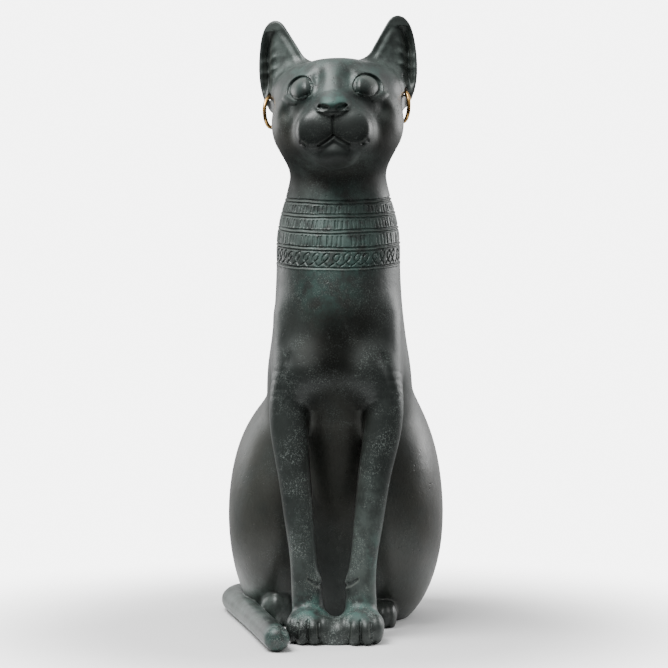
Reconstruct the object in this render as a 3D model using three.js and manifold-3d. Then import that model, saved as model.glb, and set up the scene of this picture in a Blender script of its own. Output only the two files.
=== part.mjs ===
// A seated cat in the manner of Egypt's Late Period: one casting, with a gold ring hanging in each ear.
// Millimetres, +Z up. The cat faces -Y and its own left side is +X. The origin is on the ground, below
// the middle of the whole figure.
import * as THREE from 'three';
import { mergeVertices } from 'three/addons/utils/BufferGeometryUtils.js';
import Module from 'manifold-3d';

const wasm = await Module();
wasm.setup();

// Driving sizes
const HEIGHT = 280;              // from the ground to the tips of the ears
const EAR_WALL = 2.6;            // thickness of the ears' shell
const EARRING_OUTER = 15.6;      // outer diameter of each gold ring
const EARRING_WIRE = 1.9;        // diameter of its wire
const WIRE_CLEARANCE = 0.65;     // between the wire and the wall of its hole, all round
const EARRING_TURN = 20;         // degrees that the front of each ring swings outwards
const COLLAR_LINE_WIDTH = 0.9;   // engraved lines around the neck
const COLLAR_LINE_DEPTH = 0.5;

// The figure is a free form. Its places and radii below are hundredths of its height.
const SHARE = HEIGHT / 100;
const EAR_THICKNESS = EAR_WALL / SHARE;

// Distances to simple solids, negative inside. Centres and radii are [x, y, z].
const length = (x, y, z) => Math.sqrt(x * x + y * y + z * z);

function ball(x, y, z, [cx, cy, cz], [rx, ry, rz]) {
  const dx = (x - cx) / rx;
  const dy = (y - cy) / ry;
  const dz = (z - cz) / rz;
  const near = length(dx, dy, dz);
  const slope = length(dx / rx, dy / ry, dz / rz) + 1e-9;
  return near * (near - 1) / slope;
}

const ellipse = (x, y, halfWidth, halfDepth) => ball(x, y, 0, [0, 0, 0], [halfWidth, halfDepth, 1]);

// A limb is a chain of [x, y, z, radius] whose thickness changes evenly from each point to the next
function limb(x, y, z, chain) {
  let nearest = Infinity;
  for (let i = 1; i < chain.length; i++) {
    const a = chain[i - 1];
    const b = chain[i];
    const vx = b[0] - a[0];
    const vy = b[1] - a[1];
    const vz = b[2] - a[2];
    const along = ((x - a[0]) * vx + (y - a[1]) * vy + (z - a[2]) * vz) / (vx * vx + vy * vy + vz * vz);
    const t = Math.min(1, Math.max(0, along));
    const gap = length(x - a[0] - t * vx, y - a[1] - t * vy, z - a[2] - t * vz);
    nearest = Math.min(nearest, gap - a[3] - t * (b[3] - a[3]));
  }
  return nearest;
}

// Soft joins and cuts: the two surfaces run into each other over about the width k
function join(a, b, k) {
  const h = Math.max(k - Math.abs(a - b), 0) / k;
  return Math.min(a, b) - h * h * k / 4;
}

// A cut takes the second solid's outside, given as the negative of its distance
const cut = (a, outside, k) => -join(-a, -outside, k);

// A soft swelling, one at its centre and fading away over its radii
function swell(x, y, z, [cx, cy, cz], [rx, ry, rz]) {
  const dx = (x - cx) / rx;
  const dy = (y - cy) / ry;
  const dz = (z - cz) / rz;
  return Math.exp(-dx * dx - dy * dy - dz * dz);
}

// An engraved line of the front view: one on its path of [x, z, half width], nought beside it
function stroke(x, z, path) {
  let strongest = 0;
  for (let i = 1; i < path.length; i++) {
    const a = path[i - 1];
    const b = path[i];
    const vx = b[0] - a[0];
    const vz = b[1] - a[1];
    const along = ((x - a[0]) * vx + (z - a[1]) * vz) / (vx * vx + vz * vz);
    const t = Math.min(1, Math.max(0, along));
    const gap = length(x - a[0] - t * vx, 0, z - a[1] - t * vz) / (a[2] + t * (b[2] - a[2]));
    if (gap < 1) strongest = Math.max(strongest, (1 - gap * gap) ** 2);
  }
  return strongest;
}

// A smooth curve through [height, value] pairs, kept as an evenly spaced table
function profile(pairs) {
  const low = pairs[0][0];
  const high = pairs[pairs.length - 1][0];
  const slopeAt = (i) => {
    const a = pairs[Math.max(i - 1, 0)];
    const b = pairs[Math.min(i + 1, pairs.length - 1)];
    return (b[1] - a[1]) / (b[0] - a[0]);
  };
  const steps = 400;
  const table = new Float64Array(steps + 2);
  let i = 0;
  for (let n = 0; n <= steps + 1; n++) {
    const h = Math.min(high, low + (high - low) * n / steps);
    while (i < pairs.length - 2 && h > pairs[i + 1][0]) i += 1;
    const span = pairs[i + 1][0] - pairs[i][0];
    const t = (h - pairs[i][0]) / span;
    const [p, q] = [pairs[i][1], pairs[i + 1][1]];
    const [u, v] = [slopeAt(i) * span, slopeAt(i + 1) * span];
    table[n] = p + t * (u + t * (3 * (q - p) - 2 * u - v + t * (2 * (p - q) + u + v)));
  }
  return (h) => {
    const place = Math.min(Math.max((h - low) / (high - low), 0), 1) * steps;
    const n = Math.floor(place);
    return table[n] + (place - n) * (table[n + 1] - table[n]);
  };
}

// Height of the crown between the ears. Heights of the neck and the head are measured from it.
const CROWN = 93.1;

// Trunk and neck: [height, front, back, half width]
const TRUNK = [
  [-3.6, 1.6, 25, 7], [3.6, -0.6, 26.6, 12.5], [10.7, -2.5, 27.7, 15], [17.9, -5, 26.8, 15],
  [25, -8, 24.6, 13.6], [32.1, -10.9, 21.4, 12.6], [37.5, -13.4, 18.6, 12.3], [42.9, -16.1, 15.7, 11.9],
  [48.2, -16.4, 12.9, 11.1], [53.6, -16.6, 10.4, 10.5], [58.9, -16.1, 8, 10.2], [64.3, -15, 5.9, 10.1],
  [67.9, -13.9, 4.5, 9.5],
];
const NECK = [[-21.7, -13.2, 3.4, 8.5], [-18.8, -12.9, 2.9, 7.9], [-15.2, -12.9, 2.9, 8], [-12.1, -12, 2, 7.5]];
const NECK_TOP = CROWN + NECK[NECK.length - 1][0];
const OUTLINE = [...TRUNK, ...NECK.map(([h, ...rest]) => [CROWN + h, ...rest])];
const trunkFront = profile(OUTLINE.map(([h, front]) => [h, front]));
const trunkBack = profile(OUTLINE.map(([h, , back]) => [h, back]));
const trunkHalf = profile(OUTLINE.map(([h, , , half]) => [h, half]));
const UNDERGROUND = -2;          // the casting runs on to here and is then cut flat at the ground

function trunk(x, y, z) {
  const front = trunkFront(z);
  const back = trunkBack(z);
  const side = ellipse(x, y - (front + back) / 2, trunkHalf(z), (back - front) / 2);
  return Math.max(side, z - NECK_TOP);
}

const CHEST = [[4.4, -13, 44.4], [3.2, 3.9, 3.6]];
const chest = (x, y, z) => ball(x, y, z, CHEST[0], CHEST[1]);

// The haunches are a little unequal: [centre, radii] on +X, and for the cat's right one on -X
const HAUNCH_LEFT = [[8.3, 10, 19.2], [9, 16.2, 20]];
const HAUNCH_RIGHT = [[-10.3, 10, 17.9], [9.1, 16.2, 19.8]];

function haunch(x, y, z) {
  const [centre, radii] = x > 0 ? HAUNCH_LEFT : HAUNCH_RIGHT;
  return ball(x, y, z, centre, radii);
}

// The cat's left foreleg, [x, y, z, radius, lean]. Both legs lean a little to the cat's right.
const FORELEG = [
  [5.4, -8.2, 51, 4.5, 0], [6, -10.4, 42.4, 4.4, 0], [7.6, -12, 37.5, 3.15, 0], [7.45, -12.5, 33, 3, -0.1],
  [6.4, -12.9, 26, 2.62, -0.3], [5.57, -13.3, 18.9, 2.34, -0.35], [4.88, -13.6, 13.2, 2.12, -0.4],
  [4.5, -13.8, 9.2, 2.25, -0.4], [4.25, -14.2, 5.5, 2.5, -0.25],
];
const LEFT_FORELEG = FORELEG.map(([x, y, z, r, lean]) => [x + lean, y, z, r]);
const RIGHT_FORELEG = FORELEG.map(([x, y, z, r, lean]) => [lean - x, y, z, r]);

// The pad on the inner side of each wrist, and how far the two wrists lean
const WRIST_PAD = [[2.9, -14.2, 8.7], [0.9, 1.3, 1.5]];
const WRIST_LEAN = -0.4;

const PAW = [[4.05, -16.2, 2.5], [3.7, 4.5, 3]];
const PAW_TOES = [[-2.4, 1, 0.2, 1.25], [-0.85, 0, 0, 1.4], [0.95, 0.1, 0, 1.35], [2.45, 1.1, 0.3, 1.2]];

function forepaw(x, y, z) {
  let d = ball(x, y, z, PAW[0], PAW[1]);
  for (const [dx, dy, dz, r] of PAW_TOES) {
    d = join(d, ball(x, y, z, [PAW[0][0] + dx, -19.4 + dy, 1.9 + dz], [r, 2, 2.2]), 0.4);
  }
  return d;
}

const web = (x, y, z) => ball(x, y, z, [-0.1, -17.1, 1.1], [3, 3.5, 2.9]);

// Hind feet: [x of the middle, y of the front, half width, height]
const LEFT_HIND_FOOT = [7.5, -4.7, 1.95, 4.5];
const RIGHT_HIND_FOOT = [-10.3, -4.2, 2.7, 6.6];

function hindFoot(x, y, z, [middle, front, half, height]) {
  let d = ball(x, y, z, [middle, front + 5.2, height / 2 - 0.2], [half + 0.2, 5.2, height / 2 + 0.2]);
  for (const dx of [-0.62, 0, 0.62]) {
    const place = [middle + dx * half, front + 1.7 + 2 * dx * dx, height / 2 - 0.6];
    d = join(d, ball(x, y, z, place, [0.42 * half, 1.7, height / 2]), 0.4);
  }
  return d;
}

const TAIL = [
  [2, 23.5, 2.4, 2.5], [-8, 25.2, 2.1, 2.3], [-14.5, 23.4, 1.95, 2.15], [-18, 20.4, 1.95, 2.1],
  [-19.2, 16.5, 1.95, 2.05], [-18.4, 11.5, 1.95, 2.05], [-13.6, -6, 1.95, 2.05], [-8.6, -25.7, 1.95, 2],
];

// The head leans and turns a little to the cat's right. It is drawn upright, with heights from the crown.
const HEAD_TILT = 1.8 * Math.PI / 180;
const HEAD_TURN = 1.2 * Math.PI / 180;
const HEAD_PIVOT = [-0.1, -6, -5.1];
const HEAD_FOOT = -25;

function head(x, y, z) {
  let d = ball(x, y, z, [0, -6.8, -8.5], [10.3, 11.2, 9]);
  d = join(d, ball(x, y, z, [0, -4.8, -4.8], [10.6, 8.6, 5.7]), 1.5);
  d = join(d, ball(x, y, z, [5.6, -8, -11.3], [4.9, 6.5, 5.4]), 2);
  d = join(d, ball(x, y, z, [0, -9.5, -14.1], [8, 8.5, 4.4]), 2);
  d = join(d, limb(x, y, z, [[0, -11.4, -4.2, 4.6], [0, -17.4, -8.8, 2.9]]), 2.5);
  return cut(d, z - 0.06 * (y + 6), 1.2);
}

function muzzle(x, y, z) {
  let d = ball(x, y, z, [0, -15, -12.3], [6, 5.8, 4.3]);
  d = join(d, ball(x, y, z, [2.8, -17.3, -12.7], [3.3, 4.4, 3.6]), 1.2);
  d = cut(d, -20.9 + 0.12 * (x - 2.8) - y, 1.2);
  d = join(d, ball(x, y, z, [0, -19.7, -9.1], [2.3, 2, 1.3]), 0.9);
  d = join(d, ball(x, y, z, [0, -16.6, -16.1], [3.6, 3.9, 2.4]), 0.9);
  return d;
}

// Engraved lines of the face in the front view: [x, z, half width]
const PHILTRUM = [[0, -10.5, 0.5], [0, -13.7, 0.6]];
const MOUTH = [[0, -13.7, 0.6], [1.2, -14.5, 0.65], [2.4, -15.15, 0.6], [3.6, -15.2, 0.6], [5.1, -14.6, 0.6]];
const NOSTRIL = [[0.8, -9.5, 0.5], [1.4, -9.35, 0.7], [1.95, -9.15, 0.5]];

// The eye is a dome in an almond opening between two lids. In the front view the lids are arcs of circles.
const EYE = [5.12, -5.6];
const EYE_RADIUS = 1.92;
const EYE_DOME = 1.1;
const EYE_RECESS = 0.45;
const UPPER_LID = [5.42, -5.7, 2.15];
const LOWER_LID = [5.22, -4.4, 2.9];
const LID_WIDTH = 0.7;
const LID_HEIGHT = 0.2;
const LID_STEP = 0.7;

function eye(x, z) {
  const upper = length(x - UPPER_LID[0], 0, z - UPPER_LID[1]) - UPPER_LID[2];
  const lower = length(x - LOWER_LID[0], 0, z - LOWER_LID[1]) - LOWER_LID[2];
  const opening = Math.max(upper, lower);
  if (opening > LID_WIDTH) return 0;
  const rim = LID_HEIGHT * Math.max(0, 1 - (opening / LID_WIDTH) ** 2) ** 2;
  const recess = EYE_RECESS * Math.min(1, Math.max(0, 0.5 - opening / LID_STEP));
  const middle = length(x - EYE[0], 0, z - EYE[1]) / EYE_RADIUS;
  const dome = middle < 1 ? EYE_DOME * Math.sqrt(1 - middle * middle) : 0;
  return recess - Math.max(rim, dome);
}

function face(x, y, z) {
  let d = join(head(x, y, z), muzzle(x, y, z), 1.6);
  if (y > -7) return d;
  d += 0.6 * swell(x, y, z, [7.8, -14, -9.1], [1.35, 3, 1.3]);
  d -= 0.15 * swell(x, y, z, [8.5, -13, -8.7], [1, 3, 1.7]);
  d += 0.65 * swell(x, y, z, [2.3, -16, -4.3], [1, 3, 1.8]);
  d -= 0.25 * swell(x, y, z, [5.3, -15, -3.1], [2.4, 3, 0.8]);
  d += 0.3 * stroke(x, z, PHILTRUM) + 0.4 * stroke(x, z, MOUTH) + 0.5 * stroke(x, z, NOSTRIL);
  return d + eye(x, z);
}

const EAR_OUTLINE = [
  [10.3, -6.7], [11.3, -5.1], [11.9, -2.6], [12, 0.4], [11.75, 3.2], [11.3, 5.2], [10.6, 6.3], [9.7, 5.95],
  [9.2, 5.3], [6.3, 0.35], [5.4, -1.9], [7, -6.1],
];
const EAR_ROUND = 1.2;
const EAR_EDGE = 13.3;
const EAR_TROUGH = 1.7;          // from the outer edge to the deepest line of the ear
const TROUGH_DEPTH = 2.1;

// Distance to the ear's outline in the front view
function earOutline(x, z) {
  let outside = Infinity;
  let inside = true;
  for (let i = 0; i < EAR_OUTLINE.length; i++) {
    const a = EAR_OUTLINE[i];
    const b = EAR_OUTLINE[(i + 1) % EAR_OUTLINE.length];
    const vx = b[0] - a[0];
    const vz = b[1] - a[1];
    const t = Math.min(1, Math.max(0, ((x - a[0]) * vx + (z - a[1]) * vz) / (vx * vx + vz * vz)));
    outside = Math.min(outside, length(x - a[0] - t * vx, 0, z - a[1] - t * vz));
    if (vx * (z - a[1]) - vz * (x - a[0]) < 0) inside = false;
  }
  return (inside ? -outside : outside) - EAR_ROUND;
}

// Depth of the middle of the ear's shell. It falls back outwards to a trough beside the outer edge.
function earDepth(x, z) {
  const beside = (EAR_EDGE - 0.12 * Math.max(0, z - 1.9) ** 1.5 - x - EAR_TROUGH) / 1.05;
  const tip = Math.min(1, Math.max(0, (z - 1.9) / 4));
  const root = Math.min(1, Math.max(0.1, (z + 5.6) / 3.5));
  const trough = TROUGH_DEPTH * (1 - tip * tip) * root * Math.exp(-beside * beside);
  return -5.2 + 0.36 * (x - 5) + 0.07 * (z + 3.1) + trough;
}

function ear(x, y, z) {
  if (x < 2) return Infinity;
  const slope = (earDepth(x + 0.05, z) - earDepth(x - 0.05, z)) / 0.1;
  const lean = Math.sqrt(1 + slope * slope);
  const sheet = Math.abs(y - earDepth(x, z)) / lean - EAR_THICKNESS / 2;
  return -join(-earOutline(x, z), -sheet, 0.5);
}

// A place in the head's own directions
function headPlace(x, y, z) {
  const [pivotX, pivotY, pivotZ] = HEAD_PIVOT;
  const height = z - CROWN - pivotZ;
  const turned = (x - pivotX) * Math.cos(HEAD_TURN) - (y - pivotY) * Math.sin(HEAD_TURN);
  const deep = pivotY + (y - pivotY) * Math.cos(HEAD_TURN) + (x - pivotX) * Math.sin(HEAD_TURN);
  const across = turned * Math.cos(HEAD_TILT) + height * Math.sin(HEAD_TILT);
  const up = pivotZ + height * Math.cos(HEAD_TILT) - turned * Math.sin(HEAD_TILT);
  return [across, deep, up];
}

// Each part of the figure is worked out only near itself
function form(x, y, z) {
  const side = Math.abs(x);
  let d = trunk(x, y, z);
  if (z < 48) d = join(d, haunch(x, y, z), 4);
  if (z < 60) d = join(d, limb(x, y, z, x > 0 ? LEFT_FORELEG : RIGHT_FORELEG), 1.6);
  if (z < 12) {
    d = join(d, forepaw(side, y, z), 1);
    d = join(d, web(x, y, z), 0.8);
    d = join(d, ball(Math.abs(x - WRIST_LEAN), y, z, WRIST_PAD[0], WRIST_PAD[1]), 0.6);
    d = join(d, hindFoot(x, y, z, LEFT_HIND_FOOT), 0.6);
    d = join(d, hindFoot(x, y, z, RIGHT_HIND_FOOT), 0.6);
    d = join(d, limb(x, y, z, TAIL), 0.4);
    d = Math.max(d, UNDERGROUND - z);
  }
  if (z > 34 && z < 60) d = join(d, chest(side, y, z), 2);
  if (z < CROWN + HEAD_FOOT) return d;
  const [across, deep, up] = headPlace(x, y, z);
  const skull = join(face(Math.abs(across), deep, up), ear(Math.abs(across), deep, up), 2.2);
  return join(d, skull, 2.5);
}

// The surface where a distance is nought, as triangles between the lines of a grid. Every cell of the grid
// is split into five tetrahedra, whose corners are numbered 0 to 7 by their x, y and z places.
const EVEN_CELL = [[0, 5, 3, 6], [1, 0, 3, 5], [2, 0, 6, 3], [4, 0, 5, 6], [7, 3, 6, 5]];
const ODD_CELL = [[1, 2, 4, 7], [0, 1, 2, 4], [3, 1, 7, 2], [5, 1, 4, 7], [6, 2, 7, 4]];
const CORNER_ORDERS = {
  1: [0, 1, 2, 3], 2: [1, 0, 3, 2], 4: [2, 0, 1, 3], 8: [3, 0, 2, 1],
  3: [0, 1, 2, 3], 5: [0, 2, 3, 1], 9: [0, 3, 1, 2], 6: [1, 2, 0, 3], 10: [1, 3, 2, 0], 12: [2, 3, 0, 1],
};
const TWO_INSIDE = [3, 5, 6, 9, 10, 12];
const BLOCK = 4;
const REFINEMENTS = 2;
const EDGE_PULL = 1e-4;
const LEAST_AGREEMENT = 0.2;

function rightHanded(tetrahedra) {
  const place = (c) => new THREE.Vector3(c & 1, (c >> 1) & 1, c >> 2);
  return tetrahedra.map(([a, b, c, d]) => {
    const ab = place(b).sub(place(a));
    const ac = place(c).sub(place(a));
    const ad = place(d).sub(place(a));
    return ab.cross(ac).dot(ad) > 0 ? [a, b, c, d] : [a, b, d, c];
  });
}

function extractSurface(distance, lines) {
  const [xs, ys, zs] = lines;
  const [nx, ny, nz] = lines.map((axis) => axis.length);
  const cells = [rightHanded(EVEN_CELL), rightHanded(ODD_CELL)];
  const values = new Float64Array(nx * ny * nz).fill(NaN);
  const crossings = new Map();
  const vertices = [];
  const triangles = [];

  const xOf = (id) => xs[id % nx];
  const yOf = (id) => ys[Math.floor(id / nx) % ny];
  const zOf = (id) => zs[Math.floor(id / (nx * ny))];
  const valueAt = (id) => {
    if (Number.isNaN(values[id])) values[id] = distance(xOf(id), yOf(id), zOf(id));
    return values[id];
  };

  // The point on a grid edge where the distance is nought, found once for all the cells around the edge
  const crossing = (inner, outer) => {
    const key = Math.min(inner, outer) * values.length + Math.max(inner, outer);
    const known = crossings.get(key);
    if (known !== undefined) return known;
    const [px, py, pz] = [xOf(inner), yOf(inner), zOf(inner)];
    const [qx, qy, qz] = [xOf(outer) - px, yOf(outer) - py, zOf(outer) - pz];
    let [low, high] = [0, 1];
    let [atLow, atHigh] = [values[inner], values[outer]];
    let t = 0;
    for (let step = 0; step < REFINEMENTS; step++) {
      t = low + (high - low) * atLow / (atLow - atHigh);
      const found = distance(px + t * qx, py + t * qy, pz + t * qz);
      if (found < 0) [low, atLow] = [t, found];
      else [high, atHigh] = [t, found];
    }
    vertices.push(px + t * qx, py + t * qy, pz + t * qz);
    crossings.set(key, vertices.length / 3 - 1);
    return vertices.length / 3 - 1;
  };

  const splitTetrahedron = (ids) => {
    let inside = 0;
    for (let c = 0; c < 4; c++) if (valueAt(ids[c]) < 0) inside += 1 << c;
    if (inside === 0 || inside === 15) return;
    const turned = CORNER_ORDERS[inside] === undefined;
    const [a, b, c, d] = CORNER_ORDERS[turned ? 15 - inside : inside].map((n) => ids[n]);
    const between = (p, q) => (turned ? crossing(q, p) : crossing(p, q));
    if (TWO_INSIDE.includes(inside)) {
      const [ac, ad, bd, bc] = [between(a, c), between(a, d), between(b, d), between(b, c)];
      triangles.push(ac, ad, bd, ac, bd, bc);
    } else {
      const [ab, ac, ad] = [between(a, b), between(a, c), between(a, d)];
      triangles.push(ab, turned ? ad : ac, turned ? ac : ad);
    }
  };

  const splitCell = (i, j, k) => {
    const corner = (c) => i + (c & 1) + nx * (j + ((c >> 1) & 1) + ny * (k + (c >> 2)));
    let inside = 0;
    for (let c = 0; c < 8; c++) if (valueAt(corner(c)) < 0) inside += 1;
    if (inside === 0 || inside === 8) return;
    for (const four of cells[(i + j + k) & 1]) splitTetrahedron(four.map(corner));
  };

  // Blocks of cells that lie far from the surface are left out
  for (let k = 0; k < nz - 1; k += BLOCK) {
    for (let j = 0; j < ny - 1; j += BLOCK) {
      for (let i = 0; i < nx - 1; i += BLOCK) {
        const i1 = Math.min(i + BLOCK, nx - 1);
        const j1 = Math.min(j + BLOCK, ny - 1);
        const k1 = Math.min(k + BLOCK, nz - 1);
        const reach = Math.hypot(xs[i1] - xs[i], ys[j1] - ys[j], zs[k1] - zs[k]);
        const middle = distance((xs[i] + xs[i1]) / 2, (ys[j] + ys[j1]) / 2, (zs[k] + zs[k1]) / 2);
        if (Math.abs(middle) > reach) continue;
        for (let kk = k; kk < k1; kk++) {
          for (let jj = j; jj < j1; jj++) {
            for (let ii = i; ii < i1; ii++) splitCell(ii, jj, kk);
          }
        }
      }
    }
  }
  return { vertices, triangles };
}

// Grid lines from one end to the other, with a step that depends on the place
function gridLines(low, high, stepAt) {
  const lines = [low];
  while (lines[lines.length - 1] < high) {
    const last = lines[lines.length - 1];
    lines.push(last + stepAt(last));
  }
  return lines;
}

// Fewer triangles: again and again, the edge whose loss moves the surface least is drawn together.
// Every corner keeps the sum of its triangles' squared plane distances, as ten numbers.
function simplify(mesh, target, importance) {
  const points = Float64Array.from(mesh.vertices);
  const corners = Int32Array.from(mesh.triangles);
  const count = points.length / 3;
  const sums = new Float64Array(count * 10);
  const facesOf = Array.from({ length: count }, () => []);
  const changes = new Int32Array(count);
  const gone = new Uint8Array(corners.length / 3);
  let left = gone.length;
  const normal = new Float64Array(3);
  const other = new Float64Array(3);

  // Twice the area times the normal of a face, with corner `moved` taken at x, y, z
  const faceNormal = (f, out, moved, x, y, z) => {
    const [a, b, c] = [corners[3 * f], corners[3 * f + 1], corners[3 * f + 2]];
    const ax = a === moved ? x : points[3 * a];
    const ay = a === moved ? y : points[3 * a + 1];
    const az = a === moved ? z : points[3 * a + 2];
    const ux = (b === moved ? x : points[3 * b]) - ax;
    const uy = (b === moved ? y : points[3 * b + 1]) - ay;
    const uz = (b === moved ? z : points[3 * b + 2]) - az;
    const vx = (c === moved ? x : points[3 * c]) - ax;
    const vy = (c === moved ? y : points[3 * c + 1]) - ay;
    const vz = (c === moved ? z : points[3 * c + 2]) - az;
    out[0] = uy * vz - uz * vy;
    out[1] = uz * vx - ux * vz;
    out[2] = ux * vy - uy * vx;
    return length(out[0], out[1], out[2]);
  };

  for (let f = 0; f < left; f++) {
    const size = faceNormal(f, normal, -1) || 1e-12;
    const a = corners[3 * f];
    const [nx, ny, nz] = [normal[0] / size, normal[1] / size, normal[2] / size];
    const w = -(nx * points[3 * a] + ny * points[3 * a + 1] + nz * points[3 * a + 2]);
    const weight = size * importance(points[3 * a], points[3 * a + 1], points[3 * a + 2]);
    const plane = [nx * nx, nx * ny, nx * nz, nx * w, ny * ny, ny * nz, ny * w, nz * nz, nz * w, w * w];
    for (let c = 0; c < 3; c++) {
      const i = corners[3 * f + c];
      facesOf[i].push(f);
      for (let n = 0; n < 10; n++) sums[10 * i + n] += plane[n] * weight;
    }
  }

  // The place for the joined corner with the least error, and that error, written into `best`
  const q = new Float64Array(10);
  const best = { x: 0, y: 0, z: 0, cost: 0 };
  const findBest = (a, b) => {
    for (let n = 0; n < 10; n++) q[n] = sums[10 * a + n] + sums[10 * b + n];
    const mx = (points[3 * a] + points[3 * b]) / 2;
    const my = (points[3 * a + 1] + points[3 * b + 1]) / 2;
    const mz = (points[3 * a + 2] + points[3 * b + 2]) / 2;
    const edge = 2 * length(points[3 * a] - mx, points[3 * a + 1] - my, points[3 * a + 2] - mz);
    const pull = EDGE_PULL * (q[0] + q[4] + q[7]) + 1e-12;
    const [m0, m1, m2] = [q[0] + pull, q[4] + pull, q[7] + pull];
    const [r0, r1, r2] = [pull * mx - q[3], pull * my - q[6], pull * mz - q[8]];
    const [c0, c1, c2] = [m1 * m2 - q[5] * q[5], q[2] * q[5] - q[1] * m2, q[1] * q[5] - q[2] * m1];
    const det = m0 * c0 + q[1] * c1 + q[2] * c2;
    const [c3, c4, c5] = [m0 * m2 - q[2] * q[2], q[1] * q[2] - m0 * q[5], m0 * m1 - q[1] * q[1]];
    best.x = (c0 * r0 + c1 * r1 + c2 * r2) / det;
    best.y = (c1 * r0 + c3 * r1 + c4 * r2) / det;
    best.z = (c2 * r0 + c4 * r1 + c5 * r2) / det;
    if (!(length(best.x - mx, best.y - my, best.z - mz) < 1.5 * edge)) {
      [best.x, best.y, best.z] = [mx, my, mz];
    }
    const { x, y, z } = best;
    const error = q[0] * x * x + q[4] * y * y + q[7] * z * z + q[9]
      + 2 * (q[1] * x * y + q[2] * x * z + q[5] * y * z + q[3] * x + q[6] * y + q[8] * z);
    best.cost = Math.max(0, error) + 1e-9 * edge * edge;
  };

  // A heap of edges, the cheapest on top
  const heap = [];
  const offer = (a, b) => {
    findBest(a, b);
    const entry = { a, b, cost: best.cost, changes: changes[a] + changes[b] };
    let i = heap.length;
    heap.push(entry);
    while (i > 0 && heap[(i - 1) >> 1].cost > entry.cost) {
      heap[i] = heap[(i - 1) >> 1];
      i = (i - 1) >> 1;
    }
    heap[i] = entry;
  };
  const takeCheapest = () => {
    const top = heap[0];
    const last = heap.pop();
    let i = 0;
    while (heap.length > 0) {
      let child = 2 * i + 1;
      if (child + 1 < heap.length && heap[child + 1].cost < heap[child].cost) child += 1;
      if (child >= heap.length || heap[child].cost >= last.cost) {
        heap[i] = last;
        break;
      }
      heap[i] = heap[child];
      i = child;
    }
    return top;
  };

  const neighbours = (a) => {
    const found = [];
    for (const f of facesOf[a]) {
      for (let c = 3 * f; c < 3 * f + 3; c++) {
        if (corners[c] !== a && !found.includes(corners[c])) found.push(corners[c]);
      }
    }
    return found;
  };
  const holds = (f, i) => corners[3 * f] === i || corners[3 * f + 1] === i || corners[3 * f + 2] === i;
  const turnsOver = (a, b) => facesOf[a].some((f) => {
    if (holds(f, b)) return false;
    const before = faceNormal(f, normal, -1);
    const after = faceNormal(f, other, a, best.x, best.y, best.z);
    const agree = normal[0] * other[0] + normal[1] * other[1] + normal[2] * other[2];
    return agree < LEAST_AGREEMENT * before * after;
  });

  for (let f = 0; f < gone.length; f++) {
    for (let c = 0; c < 3; c++) {
      const [a, b] = [corners[3 * f + c], corners[3 * f + (c + 1) % 3]];
      if (a < b) offer(a, b);
    }
  }
  while (left > target && heap.length > 0) {
    const { a, b, changes: known } = takeCheapest();
    if (facesOf[a].length === 0 || facesOf[b].length === 0 || known !== changes[a] + changes[b]) continue;
    const around = neighbours(a);
    if (neighbours(b).filter((i) => around.includes(i)).length !== 2) continue;
    findBest(a, b);
    if (turnsOver(a, b) || turnsOver(b, a)) continue;
    for (const f of facesOf[b]) {
      if (holds(f, a)) {
        gone[f] = 1;
        left -= 1;
        for (let c = 3 * f; c < 3 * f + 3; c++) {
          if (corners[c] !== b) facesOf[corners[c]] = facesOf[corners[c]].filter((face) => face !== f);
        }
      } else {
        for (let c = 3 * f; c < 3 * f + 3; c++) if (corners[c] === b) corners[c] = a;
        facesOf[a].push(f);
      }
    }
    facesOf[b] = [];
    points.set([best.x, best.y, best.z], 3 * a);
    for (let n = 0; n < 10; n++) sums[10 * a + n] += sums[10 * b + n];
    changes[a] += 1;
    changes[b] += 1;
    for (const i of neighbours(a)) offer(a, i);
  }

  const numbers = new Map();
  const vertices = [];
  const triangles = [];
  corners.forEach((i, n) => {
    if (gone[Math.floor(n / 3)]) return;
    if (!numbers.has(i)) {
      numbers.set(i, numbers.size);
      vertices.push(points[3 * i], points[3 * i + 1], points[3 * i + 2]);
    }
    triangles.push(numbers.get(i));
  });
  return { vertices, triangles };
}

// Solids for cutting and joining
function solidFrom(vertices, triangles) {
  return new wasm.Manifold(new wasm.Mesh({
    numProp: 3,
    vertProperties: new Float32Array(vertices),
    triVerts: new Uint32Array(triangles),
  }));
}

// A solid from a ready-made geometry, whose doubled corners are made one
function solidOf(geometry) {
  const welded = mergeVertices(new THREE.BufferGeometry()
    .setAttribute('position', geometry.getAttribute('position'))
    .setIndex(geometry.getIndex()), 1e-4);
  return solidFrom(welded.getAttribute('position').array, welded.getIndex().array);
}

function geometryFrom(solid) {
  const mesh = solid.getMesh();
  const geometry = new THREE.BufferGeometry();
  geometry.setAttribute('position', new THREE.BufferAttribute(mesh.vertProperties, 3));
  geometry.setIndex(new THREE.BufferAttribute(mesh.triVerts, 1));
  geometry.computeVertexNormals();
  return geometry;
}

// The casting, cut flat at the ground
const TRIANGLES = 5600;
const FINE_STEP = 0.42;
const LEG_STEP = 0.45;
const TOP_STEP = 0.6;
const COARSE_STEP = 0.9;
const FACE = [CROWN - 18.1, CROWN - 1.1];
const EAR_TIPS = CROWN + 7.2;
const FRONT = [-23, -1];
const FEET = 7;
const LEGS = 13;
const isIn = (value, [low, high]) => value > low && value < high;
const GRID = [
  gridLines(-22, 19.6, (x) => (Math.abs(x) < LEGS ? LEG_STEP : COARSE_STEP)),
  gridLines(-28.4, 28.6, (y) => (isIn(y, FRONT) ? FINE_STEP : COARSE_STEP)),
  gridLines(UNDERGROUND - 1, EAR_TIPS + 1, (z) => {
    if (isIn(z, FACE)) return FINE_STEP;
    return z > FEET && z < FACE[0] ? COARSE_STEP : TOP_STEP;
  }),
];
const COLLAR = [58, 73];
const importance = (x, y, z) => (z > FACE[0] ? 6 : (isIn(z, COLLAR) ? 0.4 : 1));
const surface = simplify(extractSurface(form, GRID), TRIANGLES, importance);
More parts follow.
